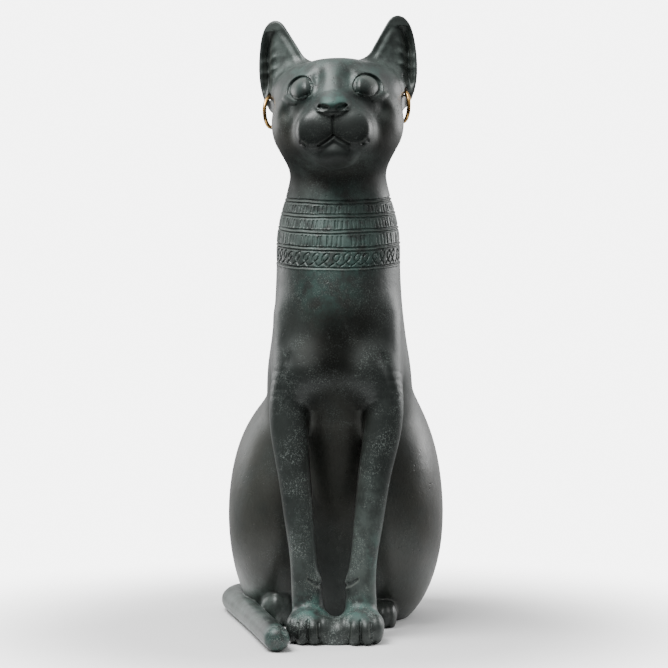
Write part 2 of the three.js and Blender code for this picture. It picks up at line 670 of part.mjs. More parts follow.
let casting = solidFrom(surface.vertices.map((value) => value * SHARE), surface.triangles);
const ground = new THREE.BoxGeometry(HEIGHT, HEIGHT, 20).translate(0, 0, -10);
casting = casting.subtract(solidOf(ground));

// Engraved rings of the collar. Their planes hang a little lower in front.
const COLLAR_HEIGHTS = [70.8, 68.6, 66.2, 63.5, 60.6];
const COLLAR_SLOPE = 0.15;
const NECK_MIDDLE = -4.3;
const COLLAR_STEPS = 32;
const GROOVE_OVERSHOOT = 0.4;

function collarGroove(height) {
  const vertices = [];
  const triangles = [];
  const spread = (COLLAR_LINE_WIDTH / 2) * (COLLAR_LINE_DEPTH + GROOVE_OVERSHOOT) / COLLAR_LINE_DEPTH;
  for (let n = 0; n < COLLAR_STEPS; n++) {
    const angle = 2 * Math.PI * n / COLLAR_STEPS;
    const [dx, dy, dz] = [Math.cos(angle), Math.sin(angle), COLLAR_SLOPE * Math.sin(angle)];
    let [low, high] = [2, 20];
    while (high - low > 1e-4) {
      const r = (low + high) / 2;
      if (form(r * dx, NECK_MIDDLE + r * dy, height + r * dz) < 0) low = r;
      else high = r;
    }
    for (const [out, up] of [[-COLLAR_LINE_DEPTH, 0], [GROOVE_OVERSHOOT, -spread], [GROOVE_OVERSHOOT, spread]]) {
      const r = low * SHARE + out;
      vertices.push(r * dx, NECK_MIDDLE * SHARE + r * dy, height * SHARE + r * dz + up);
    }
    const next = (n + 1) % COLLAR_STEPS;
    for (let c = 0; c < 3; c++) {
      const e = (c + 1) % 3;
      triangles.push(3 * n + c, 3 * next + c, 3 * next + e, 3 * n + c, 3 * next + e, 3 * n + e);
    }
  }
  return solidFrom(vertices, triangles);
}

for (const height of COLLAR_HEIGHTS) casting = casting.subtract(collarGroove(height));

// Gold rings through holes in the lobes of the ears: [x, y, z] of each hole
const HOLES = { earring_left: [10.75, -3.05, CROWN - 4.5], earring_right: [-11.3, -2.6, CROWN - 5.3] };
const REST_GAP = 0.3;            // left between the wire and the bottom of its hole
const RING_STEPS = 20;
const WIRE_STEPS = 8;

const bronze = new THREE.MeshStandardMaterial({ color: 0x2f3633, roughness: 0.45, metalness: 0.6 });
const gold = new THREE.MeshStandardMaterial({ color: 0xc9973f, roughness: 0.3, metalness: 1 });
const figure = new THREE.Group();

for (const [name, hole] of Object.entries(HOLES)) {
  const [x, y, z] = hole.map((value) => value * SHARE);
  const swing = Math.sign(x) * EARRING_TURN * Math.PI / 180;
  const radius = (EARRING_OUTER - EARRING_WIRE) / 2;
  const loop = (thickness, height) => new THREE.TorusGeometry(radius, thickness / 2, WIRE_STEPS, RING_STEPS)
    .rotateX(Math.PI / 2).rotateZ(swing - Math.PI / 2).translate(x, y, height - radius);
  // The hole is curved like the wire that runs through it
  casting = casting.subtract(solidOf(loop(EARRING_WIRE + 2 * WIRE_CLEARANCE, z)));
  const ring = loop(EARRING_WIRE, z - WIRE_CLEARANCE + REST_GAP);
  const earring = new THREE.Mesh(ring, gold);
  earring.name = name;
  figure.add(earring);
}

const cat = new THREE.Mesh(geometryFrom(casting), bronze);
cat.name = 'cat';
figure.add(cat);

// The origin is below the middle of the figure
const middle = new THREE.Box3().setFromObject(figure).getCenter(new THREE.Vector3());
for (const mesh of figure.children) mesh.geometry.translate(-middle.x, -middle.y, 0);

export default figure;
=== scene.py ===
# %% [markdown]
# # A seated bronze cat with gold earrings
#
# The real object is one bronze casting of a sitting cat, with a dark green-black patina, an engraved
# collar around its neck and a gold ring hanging in each ear. The measured model gives its main shape and
# its true place and size. This lesson builds the finer skin of the figure around that model, the rings,
# the finishes, and a plain photographer's set.
#
# An animal like this has no flat panels to extrude and no edges to bevel. It could be sculpted by hand,
# but a sculpt can't be repeated by a script. So its form is written as a distance: a function that says,
# for any point of space, how far the bronze is. Blender then gets a mesh of the places where it is nought.

# %% Open the measured model
import math
import bmesh
import bpy
import numpy as np
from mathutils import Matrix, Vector


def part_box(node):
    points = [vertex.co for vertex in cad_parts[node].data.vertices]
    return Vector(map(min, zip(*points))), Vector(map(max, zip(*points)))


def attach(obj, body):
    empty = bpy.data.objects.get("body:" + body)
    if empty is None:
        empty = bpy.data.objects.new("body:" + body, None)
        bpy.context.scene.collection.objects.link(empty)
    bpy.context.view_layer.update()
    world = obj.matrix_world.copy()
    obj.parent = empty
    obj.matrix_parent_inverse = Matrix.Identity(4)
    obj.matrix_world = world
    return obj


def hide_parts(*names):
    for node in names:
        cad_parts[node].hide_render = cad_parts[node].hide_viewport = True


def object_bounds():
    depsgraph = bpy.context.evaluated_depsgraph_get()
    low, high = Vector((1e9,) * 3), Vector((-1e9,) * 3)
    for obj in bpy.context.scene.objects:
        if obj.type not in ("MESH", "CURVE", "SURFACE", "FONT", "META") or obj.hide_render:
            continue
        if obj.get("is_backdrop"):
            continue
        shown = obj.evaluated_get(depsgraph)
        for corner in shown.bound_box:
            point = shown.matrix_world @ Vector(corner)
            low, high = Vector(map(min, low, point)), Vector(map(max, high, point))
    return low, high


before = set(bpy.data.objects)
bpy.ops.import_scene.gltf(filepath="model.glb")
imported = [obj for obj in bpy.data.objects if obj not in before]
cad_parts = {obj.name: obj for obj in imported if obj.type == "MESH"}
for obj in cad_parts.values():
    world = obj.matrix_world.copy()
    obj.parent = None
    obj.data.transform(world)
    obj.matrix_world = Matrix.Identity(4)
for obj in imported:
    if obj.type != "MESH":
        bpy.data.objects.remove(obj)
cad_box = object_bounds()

print("nodes of the measured model:", sorted(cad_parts))

# %% [markdown]
# The sizes of the figure are hundredths of its height, so `SHARE` turns them into metres. The measured
# model has its origin below the middle of its box. The form below has its x = 0 between the forelegs, so
# the whole figure moves across by the distance between the two. The hole of the left earring is known in
# both, and it gives that distance without any typed number.

# %% The height of the figure, and where its middle is
HEIGHT = 0.280
SHARE = HEIGHT / 100
EAR_HOLES = {"earring_left": (10.75, -3.05, 88.6), "earring_right": (-11.3, -2.6, 87.8)}

low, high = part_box("earring_left")
ACROSS = (low.x + high.x) / 2 - EAR_HOLES["earring_left"][0] * SHARE
DEEP = (low.y + high.y) / 2 - EAR_HOLES["earring_left"][1] * SHARE
print(f"the form moves {ACROSS * 1000:.2f} mm across and {DEEP * 1000:.2f} mm back")

# %% [markdown]
# Three simple solids are enough for the whole animal: an egg with three radii, a limb that runs through
# a chain of points, and a trunk that is a stack of ellipses. Each function takes arrays, so one call
# answers for a hundred thousand points. The values are negative inside and positive outside.

# %% Eggs and limbs
def length(*parts):
    return np.sqrt(sum(part * part for part in parts))

def ball(x, y, z, centre, radii):
    dx, dy, dz = ((p - c) / r for p, c, r in zip((x, y, z), centre, radii))
    near = length(dx, dy, dz)
    return near * (near - 1) / (length(dx / radii[0], dy / radii[1], dz / radii[2]) + 1e-9)

def limb(x, y, z, chain):
    nearest = np.full_like(x, np.inf)
    for a, b in zip(chain, chain[1:]):
        v = [q - p for p, q in zip(a, b)]
        along = (x - a[0]) * v[0] + (y - a[1]) * v[1] + (z - a[2]) * v[2]
        t = np.clip(along / (v[0] ** 2 + v[1] ** 2 + v[2] ** 2), 0, 1)
        gap = length(x - a[0] - t * v[0], y - a[1] - t * v[1], z - a[2] - t * v[2])
        nearest = np.minimum(nearest, gap - a[3] - t * v[3])
    return nearest

# %% [markdown]
# Two solids are joined by taking the smaller distance. A sharp minimum leaves a hard crease, which wax
# and bronze don't have, so `join` rounds the meeting line over a width. A cut is the same join of the two
# outsides. `swell` lifts or sinks a soft patch. `groove` is the round section of a chisel's cut, and
# `stroke` draws it along a line of the front view, whose width may change from point to point.

# %% Soft joins, cuts and swellings
def join(a, b, width):
    h = np.maximum(width - np.abs(a - b), 0) / width
    return np.minimum(a, b) - h * h * width / 4

def cut(a, outside, width):
    return -join(-a, -outside, width)

def swell(x, y, z, centre, radii):
    return np.exp(-sum(((p - c) / r) ** 2 for p, c, r in zip((x, y, z), centre, radii)))

# %% Chisel lines
def beside(x, z, a, b):
    vx, vz = b[0] - a[0], b[1] - a[1]
    t = np.clip(((x - a[0]) * vx + (z - a[1]) * vz) / (vx * vx + vz * vz), 0, 1)
    return t, length(x - a[0] - t * vx, z - a[1] - t * vz)

def groove(gap, half_width):
    return np.maximum(0, 1 - (gap / half_width) ** 2) ** 2

def stroke(x, z, path):
    strongest = np.zeros_like(x)
    for a, b in zip(path, path[1:]):
        t, gap = beside(x, z, a, b)
        strongest = np.maximum(strongest, groove(gap, a[2] + t * (b[2] - a[2])))
    return strongest

ruler = np.array([0.0, 0.2, 0.4])
print("a groove 0.4 wide to each side, 0, 0.2 and 0.4 from its middle:", groove(ruler, 0.4).round(2))

# %% [markdown]
# The trunk and the neck are one long tapering body. Its side view gives the front and back at each
# height, and its front view the half width. A smooth curve runs through the measured heights, kept as
# an even table so that numpy can look it up fast.

# %% A smooth curve through measured values
def profile(heights, values):
    heights, values = np.array(heights, float), np.array(values, float)
    before, after = np.r_[0, np.arange(len(heights) - 1)], np.r_[np.arange(1, len(heights)), len(heights) - 1]
    slopes = (values[after] - values[before]) / (heights[after] - heights[before])
    at = np.linspace(heights[0], heights[-1], 401)
    i = np.clip(np.searchsorted(heights, at, side="left") - 1, 0, len(heights) - 2)
    span = heights[i + 1] - heights[i]
    t = (at - heights[i]) / span
    p, q, u, v = values[i], values[i + 1], slopes[i] * span, slopes[i + 1] * span
    table = p + t * (u + t * (3 * (q - p) - 2 * u - v + t * (2 * (p - q) + u + v)))
    return lambda h: np.interp(h, at, table)

# %% Trunk and neck
TRUNK = np.array([  # height, front, back, half width
    [-3.6, 1.6, 25, 7], [3.6, -0.6, 26.6, 12.5], [10.7, -2.5, 27.7, 15], [17.9, -5, 26.8, 15],
    [25, -8, 24.6, 13.6], [32.1, -10.9, 21.4, 12.6], [37.5, -13.4, 18.6, 12.3], [42.9, -16.1, 15.7, 11.9],
    [48.2, -16.4, 12.9, 11.1], [53.6, -16.6, 10.4, 10.5], [58.9, -16.1, 8, 10.2], [64.3, -15, 5.9, 10.1],
    [67.9, -13.9, 4.5, 9.5], [71.4, -13.2, 3.4, 8.5], [74.3, -12.9, 2.9, 7.9], [77.9, -12.9, 2.9, 8],
    [81, -12, 2, 7.5],
])
trunk_front, trunk_back, trunk_half = (profile(TRUNK[:, 0], TRUNK[:, column]) for column in (1, 2, 3))
TRUNK_TOP = 81

def trunk(x, y, z):
    front, back = trunk_front(z), trunk_back(z)
    half, deep = trunk_half(z), (back - front) / 2
    dx, dy = x / half, (y - (front + back) / 2) / deep
    near = length(dx, dy)
    side = near * (near - 1) / (length(dx / half, dy / deep) + 1e-9)
    return np.maximum(side, z - TRUNK_TOP)

print(f"trunk: {len(TRUNK)} heights, widest {2 * TRUNK[:, 3].max() * SHARE * 1000:.0f} mm")

# %% [markdown]
# The chest has two soft bulges above the forelegs, and the haunches are two big eggs. The haunches are
# a little unequal, as hand-modelled wax is, so each one has its own numbers.

# %% Chest and haunches: the centre and the three radii of each egg
CHEST = [(4.4, -12.45, 42.6), (3.3, 3.9, 3.7)]
HAUNCH_LEFT = [(8.3, 10, 19.2), (9, 16.2, 20)]
HAUNCH_RIGHT = [(-10.3, 10, 17.9), (9.1, 16.2, 19.8)]

def chest(x, y, z):
    return ball(np.abs(x), y, z, *CHEST)

def haunch(x, y, z):
    return np.where(x > 0, ball(x, y, z, *HAUNCH_LEFT), ball(x, y, z, *HAUNCH_RIGHT))

# %% [markdown]
# A leg is a chain of round points, from the shoulder down to the paw. Straight stretches between the
# measured points would show as creases in the satin metal, so `finer` adds points along a smooth curve.

# %% More points along a chain
def finer(points, parts=4):
    columns = np.array(points, float).T
    at = np.linspace(0, len(points) - 1, parts * (len(points) - 1) + 1)
    return np.stack([profile(np.arange(len(points)), column)(at) for column in columns], 1)

# %% Forelegs, which both lean a little to the cat's right
FORELEG = [  # x, y, z, radius, lean
    (5.4, -8.2, 51, 4.5, 0), (6, -10.4, 42.4, 4.4, 0), (7.6, -12, 37.5, 3.15, 0),
    (7.45, -12.5, 33, 3, -0.1), (6.4, -12.9, 26, 2.62, -0.3), (5.57, -13.3, 18.9, 2.34, -0.35),
    (4.88, -13.6, 13.2, 2.12, -0.4), (4.5, -13.8, 9.2, 2.25, -0.4), (4.25, -14.2, 5.5, 2.5, -0.25),
]
LEFT_FORELEG = finer([(x + lean, y, z, r) for x, y, z, r, lean in FORELEG])
RIGHT_FORELEG = finer([(lean - x, y, z, r) for x, y, z, r, lean in FORELEG])
WRIST_PAD = [(2.9, -14.2, 8.7), (1, 1.4, 1.6)]
WRIST_LEAN = -0.4

def foreleg(x, y, z):
    return np.where(x > 0, limb(x, y, z, LEFT_FORELEG), limb(x, y, z, RIGHT_FORELEG))

def wrist_pad(x, y, z):
    return ball(np.abs(x - WRIST_LEAN), y, z, *WRIST_PAD)

print("each foreleg runs through", len(LEFT_FORELEG), "points")

# %% Paws, the web of metal between them, and the hind feet
PAW = [(4.05, -16.2, 2.5), (3.7, 4.5, 3)]
PAW_TOES = [  # place from the paw's middle, and half width
    (-2.4, 1, 0.2, 1.25), (-0.85, 0, 0, 1.4), (0.95, 0.1, 0, 1.35), (2.45, 1.1, 0.3, 1.2),
]
TOE_MIDDLE = (-19.4, 1.9)
TOE_JOIN = 0.4
WEB = [(-0.1, -17.1, 1.1), (3, 3.5, 2.9)]
# Hind feet: middle, front, half width, height and fall of the outer toe
LEFT_HIND_FOOT = (7.5, -4.7, 1.95, 4.5, 0)
RIGHT_HIND_FOOT = (-10.3, -4.2, 2.7, 6.6, -1.2)

def forepaw(x, y, z):
    side = np.abs(x)
    d = ball(side, y, z, *PAW)
    for dx, dy, dz, r in PAW_TOES:
        place = (PAW[0][0] + dx, TOE_MIDDLE[0] + dy, TOE_MIDDLE[1] + dz)
        d = join(d, ball(side, y, z, place, (r, 2, 2.2)), TOE_JOIN)
    return d

def web(x, y, z):
    return ball(x, y, z, *WEB)

def hind_foot(x, y, z, foot):
    middle, front, half, height, fall = foot
    d = ball(x, y, z, (middle, front + 5.2, height / 2 - 0.2), (half + 0.2, 5.2, height / 2 + 0.2))
    for dx in (-0.62, 0, 0.62):
        lower = max(0, dx * fall)
        place = (middle + dx * half, front + 2.2 + 2 * dx * dx, 0.37 * height - lower)
        d = join(d, ball(x, y, z, place, (0.42 * half, 2.2, 0.47 * height - 0.5 * lower)), 0.5)
    return d

def hind_feet(x, y, z):
    return np.minimum(hind_foot(x, y, z, LEFT_HIND_FOOT), hind_foot(x, y, z, RIGHT_HIND_FOOT))

# %% The tail, from the back of the rump to its tip beside the forepaw
TAIL = [
    (2, 23.5, 2.4, 2.5), (-8, 25.2, 2.1, 2.3), (-14.5, 23.4, 1.95, 2.15), (-18, 20.4, 1.95, 2.1),
    (-19.2, 16.5, 1.95, 2.05), (-18.4, 11.5, 1.95, 2.05), (-13.6, -6, 1.95, 2.05), (-8.6, -25.7, 1.95, 2),
]
FINE_TAIL = finer(TAIL, 3)

def tail(x, y, z):
    return limb(x, y, z, FINE_TAIL)

print("the tail runs through", len(FINE_TAIL), "points")

# %% [markdown]
# The head leans and turns a little. It is easiest to model it upright and symmetric and to turn the
# question instead: `head_place` changes a point of the figure into the head's own directions. The face
# then only needs its left half, because the other half is the same with x made positive.

# %% The head's own directions
HEAD_TILT = math.radians(1.8)
HEAD_TURN = math.radians(1.2)
HEAD_PIVOT = (-0.1, -6, 88)

def head_place(x, y, z):
    px, py, pz = HEAD_PIVOT
    turned = (x - px) * math.cos(HEAD_TURN) - (y - py) * math.sin(HEAD_TURN)
    deep = py + (y - py) * math.cos(HEAD_TURN) + (x - px) * math.sin(HEAD_TURN)
    across = turned * math.cos(HEAD_TILT) + (z - pz) * math.sin(HEAD_TILT)
    up = pz + (z - pz) * math.cos(HEAD_TILT) - turned * math.sin(HEAD_TILT)
    return across, deep, up

# %% Skull and cheeks, with the crown cut nearly flat
CROWN = 93.1

def head(x, y, z):
    brain = ball(x, y, z, (0, -6.8, 84.6), (10.3, 11.2, 9))
    top = ball(x, y, z, (0, -4.8, 88.3), (10.6, 8.6, 5.7))
    cheek = ball(x, y, z, (5.6, -8, 81.8), (4.9, 6.5, 5.4))
    jaw = ball(x, y, z, (0, -9.5, 79), (8, 8.5, 4.4))
    bridge = limb(x, y, z, [(0, -11.4, 88.9, 4.6), (0, -17.4, 84.3, 2.9)])
    d = join(join(join(join(brain, top, 1.5), cheek, 2), jaw, 2), bridge, 2.5)
    return cut(d, z - CROWN - 0.06 * (y + 6), 1.2)

# %% Muzzle: two pads that are flat in front, the nose and the chin
def muzzle(x, y, z):
    snout = ball(x, y, z, (0, -15, 80.8), (6, 5.8, 4.3))
    pad = ball(x, y, z, (2.8, -17.3, 80.4), (3.3, 4.4, 3.6))
    flat_front = -20.9 + 0.12 * (x - 2.8) - y
    nose = ball(x, y, z, (0, -19.7, 84), (2.3, 2, 1.3))
    chin = ball(x, y, z, (0, -16.6, 77), (3.6, 3.9, 2.4))
    return join(join(cut(join(snout, pad, 1.2), flat_front, 1.2), nose, 0.9), chin, 0.9)

# %% Lines of the mouth and nose, in the front view: x, z and half width
PHILTRUM = [(0, 82.4, 0.3), (0, 79.5, 0.4)]
MOUTH = [(0, 79.4, 0.4), (1.2, 78.6, 0.4), (2.4, 77.95, 0.3)]
MOUTH_SIDE = [(2.4, 77.95, 0.3), (3.7, 77.9, 0.3), (4.5, 78.1, 0.3)]
MOUTH_CORNER = [(4.4, 78.05, 0.3), (5.2, 78.6, 0.4)]
LOWER_LIP = [(0, 78.75, 0.4), (1.2, 77.95, 0.45), (2.2, 77.35, 0.3)]
NOSTRIL = [(0.8, 83.6, 0.45), (1.4, 83.75, 0.65), (1.95, 83.95, 0.45)]
CHEEK_RIDGE = [(6.2, 85.2, 0.4), (7.3, 85.7, 0.7), (8.2, 86.5, 0.5)]
NOSE_LIP = [(0, 82.75, 0.3), (1.2, 82.85, 0.35), (2.3, 83.25, 0.25)]

# %% [markdown]
# Each eye is a dome set back in an almond opening, with a raised lid all round. In the front view the
# upper and the lower lid are arcs of two circles, so the opening is where a point lies inside both. It
# is deepest at the inner corner.

# %% Eyes
EYE = (5.12, 87.5)
EYE_RADIUS = 1.92
EYE_DOME = 1.3
EYE_RECESS = 0.42
UPPER_LID = (5.42, 87.4, 2.15)
LOWER_LID = (5.22, 88.7, 2.9)
LID_WIDTH = 0.9
LID_HEIGHT = 0.14
LID_STEP = 0.45

def eye(x, z):
    upper = length(x - UPPER_LID[0], z - UPPER_LID[1]) - UPPER_LID[2]
    lower = length(x - LOWER_LID[0], z - LOWER_LID[1]) - LOWER_LID[2]
    opening = np.maximum(upper, lower)
    rim = LID_HEIGHT * np.maximum(0, 1 - (opening / LID_WIDTH) ** 2) ** 2
    deeper = 1 + 0.9 * np.clip((4.3 - x) / 1.2, 0, 1)
    recess = EYE_RECESS * deeper * np.clip(0.5 - opening / LID_STEP, 0, 1)
    middle = length(x - EYE[0], z - EYE[1]) / EYE_RADIUS
    dome = EYE_DOME * np.sqrt(np.maximum(0, 1 - middle * middle))
    return np.where(opening > LID_WIDTH, 0, recess - np.maximum(rim, dome))

# %% Soft places of the face: how deep, the centre and the three radii
FACE_PLACES = [
    (0.6, (7.8, -14, 84), (1.35, 3, 1.3)),       # the hollow of the cheek
    (-0.15, (8.5, -13, 84.4), (1, 3, 1.7)),      # the cheek bone outside it
    (0.65, (2.35, -16, 88.8), (1.05, 3, 1.9)),   # the dimple of the brow
    (-0.25, (5.3, -15, 90), (2.4, 3, 0.8)),      # the brow above the eye
]

# %% The face: skull, muzzle, soft places, lines and eyes
FACE_LINES = [
    (-0.16, CHEEK_RIDGE), (0.22, PHILTRUM), (0.22, MOUTH), (0.04, MOUTH_SIDE), (0.24, MOUTH_CORNER),
    (0.4, NOSTRIL), (-0.12, NOSE_LIP), (-0.08, LOWER_LIP),
]

def face(x, y, z):
    d = join(head(x, y, z), muzzle(x, y, z), 1.6)
    front = np.flatnonzero(y < -7)
    x, y, z = x[front], y[front], z[front]
    for depth, centre, radii in FACE_PLACES:
        d[front] += depth * swell(x, y, z, centre, radii)
    for depth, line in FACE_LINES:
        d[front] += depth * stroke(x, z, line)
    d[front] += eye(x, z)
    return d

print("the face has", len(FACE_PLACES), "soft places and", len(FACE_LINES), "lines on each side")

# %% [markdown]
# The ears are thin leaning shells. In the front view an ear is a rounded outline; in depth it falls back
# from the inner edge to a trough beside the outer edge. The inner edge has a rim with a groove beside it,
# and short ridges of hair cross the trough. Only the hollow front side is carved.

# %% Outline and depth of an ear
EAR_WALL = 0.0026 / SHARE
EAR_CORNERS = [
    (10.3, 86.4), (11.3, 88), (11.9, 90.5), (12, 93.5), (11.75, 96.3), (11.4, 98), (10.95, 99.1),
    (10.4, 99.65), (9.85, 99.5), (9.25, 98.6), (6.3, 93.45), (5.4, 91.2), (7, 87),
]
EAR_OUTLINE = [(a[0] + share * (b[0] - a[0]), a[1] + share * (b[1] - a[1]))
               for a, b in zip(EAR_CORNERS, EAR_CORNERS[1:] + EAR_CORNERS[:1]) for share in (0.25, 0.75)]
EAR_ROUND = 1.2
EAR_EDGE = 13.3
EAR_TROUGH = 1.7
TROUGH_DEPTH = 2.1

def ear_outline(x, z):
    outside, inside = np.full_like(x, np.inf), np.ones(x.shape, bool)
    for a, b in zip(EAR_OUTLINE, EAR_OUTLINE[1:] + EAR_OUTLINE[:1]):
        outside = np.minimum(outside, beside(x, z, a, b)[1])
        inside &= (b[0] - a[0]) * (z - a[1]) - (b[1] - a[1]) * (x - a[0]) >= 0
    return np.where(inside, -outside, outside) - EAR_ROUND

def ear_depth(x, z):
    above = np.maximum(0, z - 95)
    beside = (EAR_EDGE - 0.12 * above ** 1.5 - x - EAR_TROUGH) / 1.05
    fade = (1 - np.minimum(1, above / 4) ** 2) * np.clip((z - 87.5) / 3.5, 0.1, 1)
    return -5.2 + 0.36 * (x - 5) + 0.07 * (z - 90) + TROUGH_DEPTH * fade * np.exp(-beside * beside)

# %% Rim groove and hair ridges on the front of an ear
EAR_HAIRS = ((96.0, 0.14), (94.3, 0.24), (92.5, 0.28), (91.1, 0.2), (89.3, 0.16))

def ear_carving(x, z, outline):
    inner = np.clip((10.4 - x) / 1.5, 0, 1) * np.clip((z - 91.2) / 2, 0, 1) * np.clip((99.2 - z) / 1.5, 0, 1)
    furrow = 0.14 * np.exp(-((outline + 0.8) / 0.45) ** 2)
    ridge = 0.1 * np.exp(-((outline + 1.6) / 0.5) ** 2)
    relief = inner * (furrow - ridge)
    strip = np.exp(-((x - 11.3) / 1.2) ** 2)
    for height, force in EAR_HAIRS:
        rise = z - height + 0.3 * (x - 11.2) + 0.1 * np.sin(4 * x + height)
        relief = relief - force * strip * np.exp(-(rise / 0.5) ** 2)
    return relief

def ear(x, y, z):
    outline, depth = ear_outline(x, z), ear_depth(x, z)
    slope = (ear_depth(x + 0.05, z) - ear_depth(x - 0.05, z)) / 0.1
    before = np.clip((depth - y) / 0.2, 0, 1)
    sheet = np.abs(y - depth) / np.sqrt(1 + slope * slope) - EAR_WALL / 2
    sheet = sheet + before * ear_carving(x, z, outline)
    return np.where(x < 2, np.inf, -join(-outline, -sheet, 0.5))

# %% Holes for the rings, curved like the wire that runs through them
EARRING_OUTER = 0.0156 / SHARE
EARRING_WIRE = 0.0019 / SHARE
WIRE_CLEARANCE = 0.00065 / SHARE
EARRING_TURN = math.radians(20)
RING_RADIUS = (EARRING_OUTER - EARRING_WIRE) / 2

def ring_hole(x, y, z, hole):
    swing = math.copysign(EARRING_TURN, hole[0])
    dx, dy, dz = x - hole[0], y - hole[1], z - hole[2] + RING_RADIUS
    off_plane = dx * math.cos(swing) + dy * math.sin(swing)
    in_plane = np.sqrt(np.maximum(0, dx * dx + dy * dy + dz * dz - off_plane ** 2))
    return length(in_plane - RING_RADIUS, off_plane) - EARRING_WIRE / 2 - WIRE_CLEARANCE

# %% [markdown]
# The collar is engraved: pairs of fine lines around the neck, three rows of upright beads and a row of
# slanting loops. They were cut by hand, so spacing, slant and depth change from one mark to the next.
# A seeded generator gives each mark its own small error, and the same ones every time.
#
# It could be painted as a bump map, but then the outline of the neck stays smooth and the marks go flat
# from the side. Here each mark is a little groove in the distance function. `level` is the height above
# the ground of the collar's slanting planes, and `angle` goes around the neck, nought at the front.

# %% Places on the collar
COLLAR_SLOPE = 0.15
NECK_MIDDLE = -4.3
NECK_RADIUS = 11.2              # on the average, for the spacing of the marks
COLLAR_PAIRS = (70.8, 68.6, 66.2, 63.5)
COLLAR_FOOT = 60.6
PAIR_GAP = 0.27                 # from the middle of a pair to each of its two grooves
chisel = np.random.default_rng(7)

def collar_place(x, y, z):
    level = z - COLLAR_SLOPE * (y - NECK_MIDDLE)
    return level, np.arctan2(x, NECK_MIDDLE - y)

# %% Fine lines around the neck
WAVES = chisel.uniform(0, 2 * np.pi, (len(COLLAR_PAIRS) + 1, 3))

def wobble(angle, row):
    a, b, c = WAVES[row]
    return 0.05 * np.sin(3 * angle + a) + 0.03 * np.sin(7 * angle + b) + 0.015 * np.sin(17 * angle + c)

def collar_lines(level, angle):
    depth = np.zeros_like(level)
    for row, height in enumerate(COLLAR_PAIRS):
        gap = level - height - wobble(angle, row)
        lines = np.maximum(groove(gap - PAIR_GAP, 0.21), 0.9 * groove(gap + PAIR_GAP, 0.21))
        depth += 0.19 * lines - 0.07 * groove(gap, 0.2)
    foot = level - COLLAR_FOOT - wobble(angle, len(COLLAR_PAIRS))
    return depth + 0.17 * groove(foot, 0.2) - 0.06 * groove(foot + 0.3, 0.22)

# %% Three rows of upright beads
BEADS = 88
BEAD_ROWS = [(68.6, 70.8), (66.2, 68.6), (63.5, 66.2)]
bead_shift = chisel.normal(0, 0.13, (len(BEAD_ROWS), BEADS))
bead_slant = chisel.normal(0.03, 0.05, (len(BEAD_ROWS), BEADS))
bead_force = np.clip(chisel.normal(0.85, 0.3, (len(BEAD_ROWS), BEADS)), 0.15, 1.2)

def collar_beads(level, angle):
    depth = np.zeros_like(level)
    for row, (foot, top) in enumerate(BEAD_ROWS):
        inside = np.clip((level - foot - 0.5) / 0.12, 0, 1) * np.clip((top - 0.5 - level) / 0.12, 0, 1)
        place = angle / (2 * np.pi) * BEADS + 0.37 * row
        pitch = NECK_RADIUS * 2 * np.pi / BEADS
        for step in (-1, 0, 1):
            n = np.rint(place).astype(int) + step
            gap = (place - n - bead_shift[row, n % BEADS]) * pitch
            gap = gap - bead_slant[row, n % BEADS] * (level - (foot + top) / 2)
            force = bead_force[row, n % BEADS]
            depth = np.maximum(depth, inside * force * (0.17 * groove(gap, 0.22)))
    return depth

# %% The row of slanting loops, drawn as one line each and cut where a point is near its own loop
LOOPS = 42
LOOP_LINE = [(-0.62, 0.0), (-0.1, 0.42), (0.38, 0.95), (0.5, 1.45), (0.3, 1.85), (0.0, 1.95), (-0.3, 1.82),
             (-0.5, 1.4), (-0.38, 0.92), (0.1, 0.42), (0.62, 0.0)]
LOOP_LEAN = 0.3
loop_shift = chisel.normal(0, 0.07, LOOPS)
loop_size = chisel.normal(1, 0.06, LOOPS)

def collar_loops(level, angle):
    place = angle / (2 * np.pi) * LOOPS
    pitch = NECK_RADIUS * 2 * np.pi / LOOPS
    depth = np.zeros_like(level)
    for step in (-1, 0, 1):
        n = np.rint(place).astype(int) + step
        across = (place - n - loop_shift[n % LOOPS]) * pitch
        up = (level - COLLAR_FOOT - 0.38) / loop_size[n % LOOPS]
        across = across - LOOP_LEAN * (up - 0.9)
        near = np.full_like(level, np.inf)
        for a, b in zip(LOOP_LINE, LOOP_LINE[1:]):
            near = np.minimum(near, beside(across, up, a, b)[1])
        depth = np.maximum(depth, groove(near, 0.19))
    return 0.19 * depth

def collar(x, y, z):
    level, angle = collar_place(x, y, z)
    worn = np.exp(-((angle + 1.3) / 0.3) ** 2) * np.clip((level - 63) / 4, 0, 1)
    worn = worn + 0.3 * np.exp(-((angle - 0.35) / 0.25) ** 2)
    beads = collar_beads(level, angle) * (1 - 0.8 * np.minimum(1, worn))
    lines = collar_lines(level, angle) * (1 - 0.55 * np.minimum(1, worn))
    return lines + beads + collar_loops(level, angle)

# %% [markdown]
# A few long shallow grooves show the muscles: where each shoulder meets the chest, the notch on the inner
# side of each wrist, and the lines between the toes. They are strokes of the front view too, kept to the
# front of the figure so that they don't come out again at the back.

# %% Shoulders, wrists and toes
SHOULDER = [(7.3, 45.3, 0.5), (8.1, 43, 0.8), (8.9, 39.5, 0.7), (9.2, 36, 0.4)]
ARMPIT = [(7.3, -14, 44.2), (1, 4, 1.2)]
WRIST_FOLD = [(1.9, 8.5, 0.5), (2.9, 9, 0.5), (3.9, 9.7, 0.35)]
WRIST_BONE = [(3.1, -14.8, 9.8), (1.1, 2, 1.4)]
TOE_LINES = [
    [(2.35, 1.4, 0.3), (2.5, 3.4, 0.3)], [(4.05, 1, 0.3), (4.1, 3.8, 0.34)],
    [(5.75, 1.4, 0.3), (5.6, 3.4, 0.3)],
]

